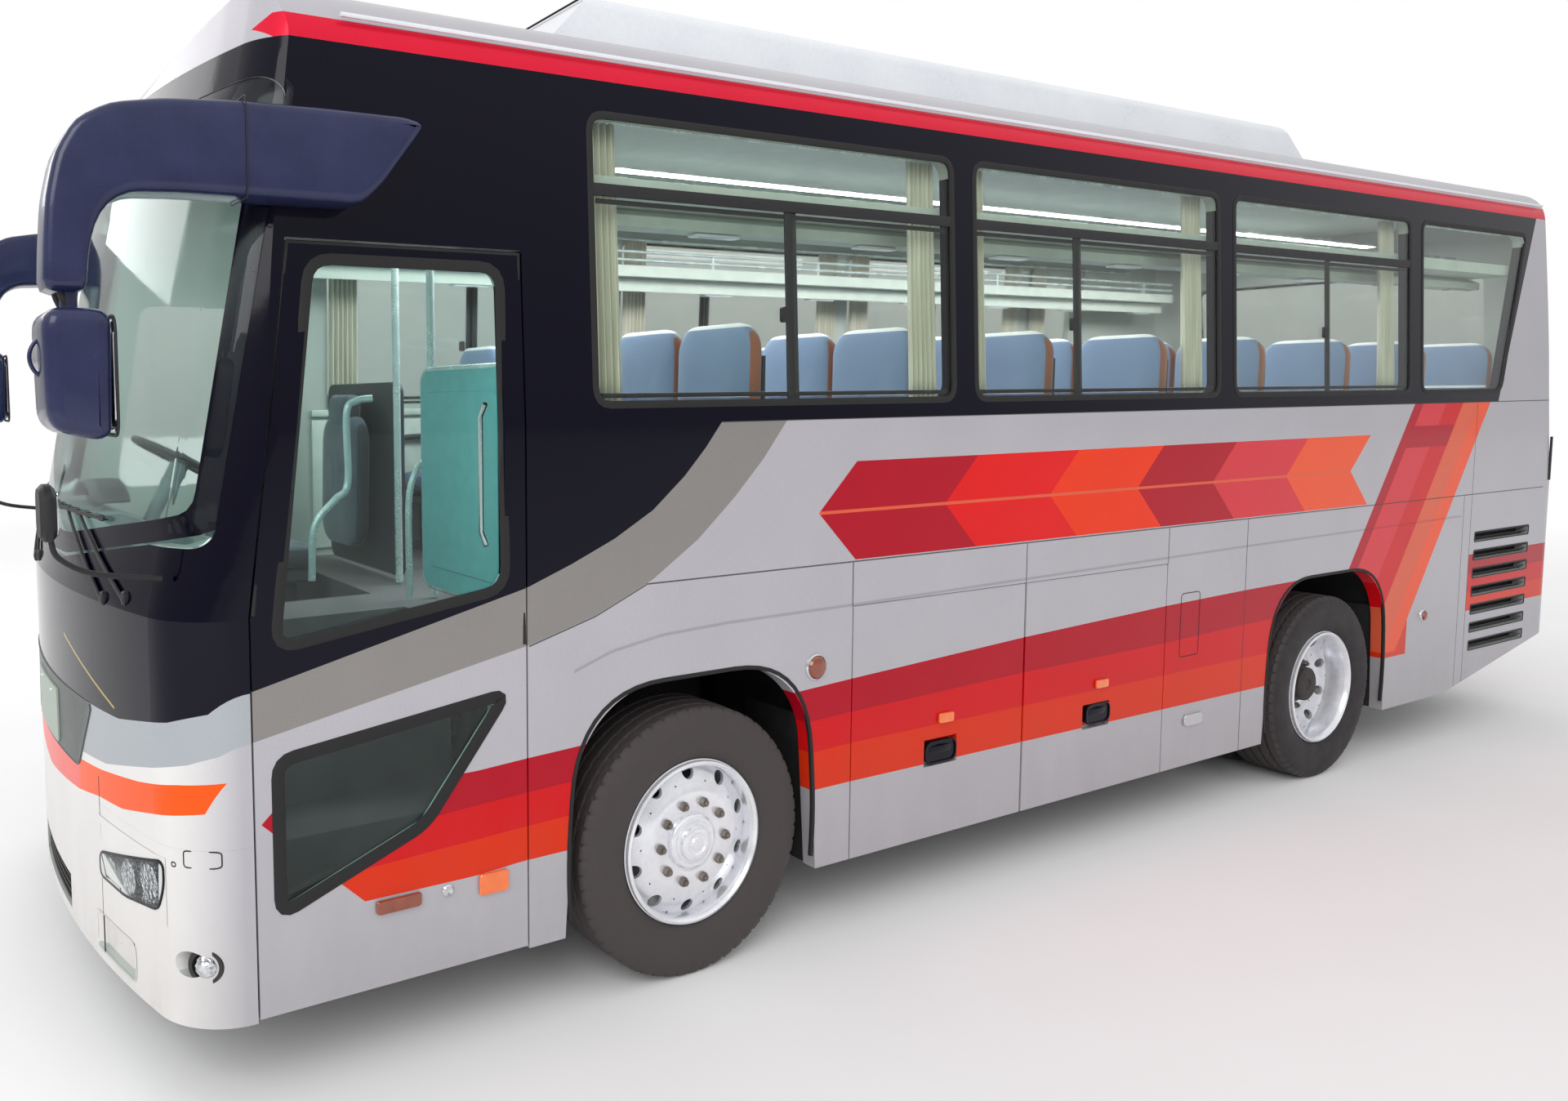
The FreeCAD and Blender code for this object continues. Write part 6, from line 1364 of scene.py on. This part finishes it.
# Mirrors: reflecting faces, the seam of the arm, brackets, the close-view mirrors and their frames
mirrorSet = {"head": (1.165, 1.415, -4.39, 1.955, 2.29), "seamY": -4.03, "arm": (1.1855, 2.5895, 1.3455, 2.8505),
             "hoop": (1.285, -4.52, 2.17, 0.052), "close": (1.165, 1.772)}
print("mirrors")
for sideName, side in sides.items():
    x0, x1, y, z0, z1 = mirrorSet["head"]
    face = roundedOutline(x1 - x0 - 0.045, z1 - z0 - 0.06, 0.035, 6) + [(x0 + x1) / 2 * side, (z0 + z1) / 2]
    glass = slab(face, y - 0.006, y + 0.0035, "y", 0.003)
    hx, hy, hz, hr = mirrorSet["hoop"]
    disc = turned([(-0.004, hr), (0.004, hr), (0.006, hr * 0.7), (0.007, 0.001)], (side * hx, hy, hz), "x", 32)
    closeAt = np.array(mirrorSet["close"]) * [side, 1]
    close = slab(roundedOutline(0.085, 0.125, 0.028, 6) + closeAt, -4.52, -4.512, "y", 0.002)
    makePiece(f"{sideName}MirrorGlass", [glass, disc, close], chrome, smooth=40)
    ring = smoothCorners(rectangle(x0 + 0.012, z0 + 0.02, x1 - 0.012, z1 - 0.02), 0.045, 6)
    rimPath = setAt(ring * [side, 1], y, "y")
    seam = smoothCorners(rectangle(*mirrorSet["arm"]), 0.012, 4)
    seamPath = setAt(seam * [side, 1], mirrorSet["seamY"], "y")
    frames = [bar(rimPath, 0.01, 0.008, (0, 1, 0), 0.003, closed=True),
              bar(seamPath, 0.004, 0.003, (0, 1, 0), 0.001, closed=True)]
    for place in (1.215, 1.3):
        frames.append(tube(curveThrough([(side * place, -4.495, 2.4), (side * place, -4.5, 2.335),
                                         (side * place, -4.47, 2.27)], 5),
                           0.011, (1, 0, 0)))
    frames.append(slab(roundedOutline(0.105, 0.15, 0.036, 6) + closeAt, -4.558, -4.516, "y", 0.012))
    frames.append(tube(curveThrough([(side * 1.165, -4.53, 1.7), (side * 1.16, -4.51, 1.65),
                                     (side * 1.15, -4.42, 1.6),
                                     (side * 1.14, -4.24, 1.57)], 6), 0.008, (0, 0, 1)))
    frames.append(tube([(side * 1.3, -4.46, 2.36), (side * 1.285, -4.475, 2.225)], 0.006, (1, 0, 0)))
    makePiece(f"{sideName}MirrorFrames", frames, blackTrim)


# Entrance: seals round both panes, the frame's raised edge, lamps and lock of the leaf
doorSet = {
    "glass": [(-3.955, 1.358), (-3.205, 1.465), (-3.205, 2.455), (-3.822, 2.455)],
    "lowGlass": [(-3.955, 0.585), (-3.49, 0.765), (-3.205, 1.13), (-3.955, 1.035)],
    "leaf": [(-4.016, 1.46), (-3.884, 2.498), (-3.137, 2.498), (-3.137, 1.28)],
    "lamps": [(-3.587, 0.538, 0.15, 0.042, brownLens), (-3.258, 0.533, 0.105, 0.068, orangeLens)],
    "lock": (-3.42, 0.54),
}
print("entrance")
doorLines = [ringOnSide(doorSet["glass"], 0.034, 0.008, -0.0005, 1, 0.07),
             ringOnSide(doorSet["lowGlass"], 0.04, 0.008, -0.0005, 1, 0.05),
             bar(onSide(doorSet["leaf"], -0.002), 0.012, 0.008, (1, 0, 0), 0.003)]
makePiece("doorSeals", doorLines, rubberSeal, body="entrance_door")
for y, z, width, height, finish in doorSet["lamps"]:
    lens = slab(roundedOutline(width, height, 0.01) + [y, z], 1.2445, 1.258, "x", 0.004)
    makePiece(f"doorLamp_{finish.name}", [lens], finish, body="entrance_door")
y, z = doorSet["lock"]
lock = [turned([(0.0, 0.02), (0.006, 0.02), (0.01, 0.015), (0.008, 0.008), (0.006, 0.001)], (1.2435, y, z), "x", 24),
        bar([(1.222, -3.26, 1.6), (1.19, -3.26, 1.64), (1.19, -3.26, 2.0), (1.222, -3.26, 2.04)], 0.016, 0.016,
            (0, 1, 0), 0.006)]
makePiece("doorLock", lock, chrome, body="entrance_door")


# Mirror arms with a smooth elbow, in the place of the plain ones, and the screen's black border
armSet = {
    "outline": [(-3.56, 2.846), (-3.8, 2.845), (-4.06, 2.838), (-4.24, 2.824), (-4.37, 2.8), (-4.455, 2.752),
                (-4.505, 2.668), (-4.53, 2.56), (-4.54, 2.44), (-4.545, 2.33), (-4.44, 2.33), (-4.432, 2.43),
                (-4.415, 2.5), (-4.385, 2.552), (-4.33, 2.585), (-4.2, 2.592), (-3.95, 2.594), (-3.7, 2.596),
                (-3.64, 2.65), (-3.5, 2.83)],
    "across": (1.1875, 1.3435), "head": [(-4.555, 1.99), (-4.4, 1.958), (-4.392, 2.288), (-4.56, 2.288)],
    "headAcross": (1.168, 1.412),
}
print("mirror arms")


def lozenge(outline, low, high, side, edge):
    # a rounded bar with this side outline: rings step in near both faces by a quarter circle
    turn = np.linspace(0, math.pi / 2, 5)[::-1]
    centre = np.asarray(outline, float).mean(0)
    outline = np.asarray(outline, float)
    ahead = np.roll(outline, -1, 0) - np.roll(outline, 1, 0)
    out = np.stack([ahead[:, 1], -ahead[:, 0]], 1) / np.linalg.norm(ahead, axis=1)[:, None]
    out *= np.sign(((outline - centre) * out).sum())
    rings = [(low + edge * (1 - math.sin(t)), edge * (1 - math.cos(t))) for t in turn]
    rings += [(high - edge * (1 - math.sin(t)), edge * (1 - math.cos(t))) for t in turn[::-1]]
    points = np.stack([setAt(outline - out * step, side * x) for x, step in rings])
    half = len(outline) // 2
    faces = [patch(np.linspace(ring[:half], ring[half:][::-1], 4)) for ring in (points[0], points[-1])]
    return [patch(points, True), *faces]


def borderOf(outline, inset, out):
    # a black band just inside the screen's edge
    outline = np.asarray(outline, float)
    middle = (outline.max(0) + outline.min(0)) / 2
    half = (outline.max(0) - outline.min(0)) / 2
    inner = middle + (outline - middle) * (1 - inset / half)
    rows = [(outline, 0.006), (outline, out), (inner, out), (inner, 0.006)]
    points = np.stack([onEnd(flat, -sink) for flat, sink in rows])
    return patch(points, True)


for sideName, side in sides.items():
    arm = lozenge(smoothCorners(armSet["outline"], 0.03, 3), *armSet["across"], side, 0.024)
    head = lozenge(smoothCorners(armSet["head"], 0.055, 7), *armSet["headAcross"], side, 0.036)
    stem = tube([(side * 1.29, -4.48, 2.34), (side * 1.29, -4.48, 2.27)], 0.022, (1, 0, 0), 20)
    hoop = setAt(circle(40) * 0.056 + [-4.52, 2.17], side * 1.285)
    makePiece(f"{sideName}MirrorBody", [*arm, *head, stem, tube(hoop, 0.006, (1, 0, 0), 10, closed=True)],
              mirrorPaint, replaces=[f"mirror_{sideName}"], smooth=50)

screenSet = {"edge": [(-1.18, 2.952), (-1.186, 1.69), (-1.02, 1.657), (-0.3, 1.548), (0.3, 1.548), (1.02, 1.657),
                      (1.186, 1.69), (1.18, 2.952)], "grow": (1.03, 1.003), "band": 0.066}
edge = dense(smoothCorners(screenSet["edge"], 0.055, 8) * np.array(screenSet["grow"]), 240)
makePiece("screenBorder", [borderOf(edge, screenSet["band"], 0.003)], blackGloss, smooth=60)


# Wipers: two thin arms each, from pivots below the screen to a blade along its foot
wiperSet = {"pivots": [(0.76, 1.465), (0.91, 1.485)], "spacing": 1.1, "reach": 0.46, "bladeZ": 1.7,
            "blade": 0.78, "out": 0.012}
wiperParts, rubbers = [], []
for shift in (0.0, wiperSet["spacing"]):
    (x0, z0), (x1, z1) = wiperSet["pivots"]
    tip = x0 - wiperSet["reach"] - shift
    for x, z in ((x0 - shift, z0), (x1 - shift, z1)):
        run = np.linspace([x, z], [x - wiperSet["reach"], wiperSet["bladeZ"] - 0.01], 12)
        wiperParts.append(endBar(run, wiperSet["out"] - 0.004, 0.014, 0.01, 0.003))
        boss = [(0.01, 0.022), (-0.004, 0.022), (-0.01, 0.017), (-0.012, 0.006), (-0.013, 0.001)]
        wiperParts.append(turned(boss, (x, float(endAt(x, z)), z), "y", 20))
    run = levelRun(tip - wiperSet["blade"] / 2, tip + wiperSet["blade"] / 2, wiperSet["bladeZ"], 30)
    wiperParts.append(endBar(run, wiperSet["out"] - 0.001, 0.014, 0.008, 0.003))
    rubbers.append(endBar(run - [0, 0.004], 0.003, 0.006, 0.01, 0.002))
    for place in np.linspace(-0.36, 0.36, 7):
        clip = levelRun(tip + place - 0.012, tip + place + 0.012, wiperSet["bladeZ"], 2)
        wiperParts.append(endBar(clip, 0.01, 0.02, 0.01, 0.003))
makePiece("wiperArms", wiperParts, blackTrim, replaces=["wipers"])
makePiece("wiperRubbers", rubbers, rubberSeal)


# Roof unit and tail: grille bars, fan rings and seams; then lamp bezels, the window's seal, slots and latch
# of the engine lid, its plate, and the red lenses
roofSet = {"unitTop": 3.48, "gridStart": -2.35, "gridEnd": -0.35, "fans": [(0.35, 0.0), (1.05, 0.0)],
           "fanRadius": 0.27}
print("roof unit")
unitTop = roofSet["unitTop"]
grille = []
for y in np.arange(roofSet["gridStart"], roofSet["gridEnd"], 0.055):
    grille.append(bar([(-0.62, y, unitTop - 0.004), (0.62, y, unitTop - 0.004)], 0.02, 0.006,
                      (0, 0.4, 1), 0.002))
for x in (-0.62, -0.31, 0.0, 0.31, 0.62):
    grille.append(bar([(x, roofSet["gridStart"] - 0.02, unitTop - 0.006),
                       (x, roofSet["gridEnd"], unitTop - 0.006)], 0.014, 0.009, (0, 0, 1), 0.002))
for y, x in roofSet["fans"]:
    for radius in np.linspace(0.05, roofSet["fanRadius"], 6):
        ring = setAt(circle(40) * radius + [x, y], unitTop - 0.003, "z")
        grille.append(tube(ring, 0.0025, (0, 0, 1), 6, closed=True))
makePiece("roofGrille", grille, blackTrim)
seams = []
for y in (-2.62, -0.2, 1.75):
    seams.append(bar([(-0.8, y, unitTop - 0.003), (0.8, y, unitTop - 0.003)], 0.01, 0.004, (0, 0, 1), 0.001))
for side in (1, -1):
    for y in np.arange(-2.75, 2.2, 0.62):
        seams.append(turned([(0.0, 0.01), (0.004, 0.009), (0.006, 0.001)], (side * 0.77, y, unitTop - 0.003), "z",
                            10))
makePiece("roofUnitSeams", seams, rubberSeal)

tailSet = {
    "lamps": [(1.095, 0.875), (1.095, 1.01), (1.095, 1.145)], "plate": (0.0, 0.79, 0.34, 0.17),
    "window": rectangle(-0.88, 2.06, 0.88, 2.82), "latch": (0.0, 1.06, 0.15, 0.07),
    "slots": (0.52, 1.26, 1.5, 7), "stopLamp": (0.0, 2.9, 0.3, 0.034), "reflector": (0.93, 0.575, 0.11, 0.04),
    "bumperLine": 0.64,
}
print("tail")
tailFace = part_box("tail_lamps")[1].y
bezels = []
for side in (1, -1):
    for x, z in tailSet["lamps"]:
        rings = [(-0.03, 0.07), (0.004, 0.07), (0.007, 0.066), (0.004, 0.059), (-0.02, 0.058)]
        bezels.append(turned(rings, (side * x, tailFace - 0.004, z), "y", 36, closed=True))
makePiece("tailLampBezels", bezels, chrome, smooth=40)
trim = [endBar(dense(smoothCorners(tailSet["window"], 0.07), 160), -0.001, 0.034, 0.012, 0.004, 1, closed=True)]
for edge in (-1.15, 1.15):
    trim.append(endBar([(edge, 1.6), (edge, 1.9)], -0.002, 0.004, 0.004, 0.001, 1))
groove = levelRun(-1.2, 1.2, tailSet["bumperLine"], 60)
trim.append(endBar(groove, -0.002, 0.004, 0.005, 0.001, 1))
makePiece("tailTrim", trim, rubberSeal)
reach, low, high, count = tailSet["slots"]
slots = []
for z in np.linspace(low, high, count):
    slots.append(endBar(levelRun(-reach, reach, z, 30), -0.001, 0.022, 0.006, 0.003, 1))
x, z, width, height = tailSet["latch"]
slots.append(dishOn(roundedOutline(width, height, 0.026, 6) + [x, z],
                    [(1.0, -0.001), (0.96, 0.002), (0.8, -0.002), (0.02, -0.002)], 1))
slots.append(endBar([(x - 0.05, z), (x + 0.05, z)], -0.001, 0.022, 0.006, 0.004, 1))
makePiece("engineLidTrim", slots, blackTrim, body="engine_lid")
x, z, width, height = tailSet["plate"]
plate = dishOn(roundedOutline(width, height, 0.012) + [x, z],
               [(1.0, -0.002), (1.0, 0.0015), (0.98, 0.002), (0.02, 0.0015)], 1)
makePiece("tailPlate", [plate], plateBlank, body="engine_lid", smooth=40)
reds = []
for x, z, width, height in (tailSet["stopLamp"], tailSet["reflector"], (-0.93, *tailSet["reflector"][1:])):
    outline = roundedOutline(width, height, 0.012) + [x, z]
    reds.append(dishOn(outline, [(1.0, 0.0), (0.98, 0.007), (0.85, 0.009), (0.02, 0.009)], 1))
makePiece("tailReds", reds, redLens, smooth=40)
strip = bar(onSide([(4.322, 1.47), (4.322, 1.74)], 0.001, 1), 0.02, 0.01, (1, 0, 0), 0.004)
makePiece("cornerStrip", [strip], blackTrim)


# Stage: pale floor, plain soft light and the photograph's view
studio = {
    "floorRadius": 60.0, "floorFade": (7.0, 17.0),
    "skyLight": 0.84, "horizon": 0.45, "keyPower": 1000.0, "keySize": 9.0, "keyPlace": (9.5, -12.0, 10.0),
    "fillPower": 260.0, "fillPlace": (-10.0, -8.0, 8.0), "cabinPower": 150.0,
}
print("stage and camera")
floorMesh = bpy.data.meshes.new("floor")
ring = setAt(circle(96) * studio["floorRadius"], 0.0, "z")
floorMesh.from_pydata(ring.tolist(), [], [list(range(96))])
floor = bpy.data.objects.new("floor", floorMesh)
scene.collection.objects.link(floor)


def floorBuild(g, place):
    return {"Base Color": g.mix(g.ramp(g.noise(place, 0.5), 0.3, 0.7), (0.9, 0.9, 0.905, 1), (0.93, 0.93, 0.935, 1))}


floorPaint = makeMaterial("floorPaint", floorBuild, Roughness=0.9, Specular_IOR_Level=0.1)
g = Graph(floorPaint.node_tree)
leave = next(node for node in g.tree.nodes if node.type == "OUTPUT_MATERIAL")
far = g.put("VectorMath", {0: g.put("TexCoord", out="Object")}, out="Value", operation="LENGTH")
fade = g.ramp(far, *studio["floorFade"]) & g.put("LightPath", out="Is Camera Ray")
glow = g.put("Emission", {"Color": (1, 1, 1, 1), "Strength": 1.0})
g.feed(leave.inputs["Surface"],
       g.put("MixShader", {0: fade, 1: Wire(g, leave.inputs["Surface"].links[0].from_socket), 2: glow}))
floorMesh.materials.append(floorPaint)

world = bpy.data.worlds.new("studioSky")
scene.world = world
world.use_nodes = True
world.node_tree.nodes.clear()
g = Graph(world.node_tree)
rays = g.outputs(world.node_tree.nodes.new("ShaderNodeLightPath"))
shown = rays["Is Camera Ray"] | rays["Is Glossy Ray"] | rays["Is Transmission Ray"]
height = g.split(g.put("TexCoord", out="Generated"))[2]
gloss = g.ramp(height, 0.0, 0.55, studio["horizon"], 1.0)
level = g.mix(rays["Is Glossy Ray"], (1, 1, 1, 1), g.put("CombineXYZ", {0: gloss, 1: gloss, 2: gloss}))
strength = g.ramp(shown, 0.0, 1.0, studio["skyLight"], 1.0)
sky = g.put("Background", {"Color": level, "Strength": strength})
g.feed(world.node_tree.nodes.new("ShaderNodeOutputWorld").inputs["Surface"], sky)


def softbox(name, place, power, size):
    # a square lamp turned towards the middle of the coach
    lamp = bpy.data.lights.new(name, "AREA")
    lamp.energy, lamp.shape, lamp.size = power, "SQUARE", size
    holder = bpy.data.objects.new(name, lamp)
    holder.location = place
    holder.rotation_euler = (Vector((0, 0, 1.4)) - Vector(place)).to_track_quat("-Z", "Y").to_euler()
    scene.collection.objects.link(holder)


softbox("keyLamp", studio["keyPlace"], studio["keyPower"], studio["keySize"])
softbox("fillLamp", studio["fillPlace"], studio["fillPower"], 6.0)
cabinLamp = bpy.data.lights.new("cabinLamp", "AREA")
cabinLamp.energy, cabinLamp.shape, cabinLamp.size, cabinLamp.size_y = studio["cabinPower"], "RECTANGLE", 0.9, 7.0
cabinHolder = bpy.data.objects.new("cabinLamp", cabinLamp)
cabinHolder.location = (0.0, 0.4, 2.98)
scene.collection.objects.link(cabinHolder)

view = {"place": (4.204, -4.91, 2.061), "yaw": 62.49, "down": 4.59, "roll": -0.64, "lens": 25.386,
        "shift": (0.2081, -0.0412)}
yaw, down, roll = (math.radians(view[key]) for key in ("yaw", "down", "roll"))
ahead = Vector((-math.sin(yaw) * math.cos(down), math.cos(yaw) * math.cos(down), -math.sin(down)))
right = Vector((math.cos(yaw), math.sin(yaw), 0))
above = right.cross(ahead)
turn = Matrix((right * math.cos(roll) + above * math.sin(roll), above * math.cos(roll) - right * math.sin(roll),
               -ahead))
camera = bpy.data.objects.new("camera", bpy.data.cameras.new("camera"))
camera.matrix_world = Matrix.Translation(view["place"]) @ turn.transposed().to_4x4()
camera.data.lens, camera.data.sensor_width = view["lens"], 36.0
camera.data.shift_x, camera.data.shift_y = view["shift"]
camera.data.clip_end = 200.0
scene.collection.objects.link(camera)
scene.camera = camera
scene.view_settings.view_transform = "Standard"

bpy.context.view_layer.update()
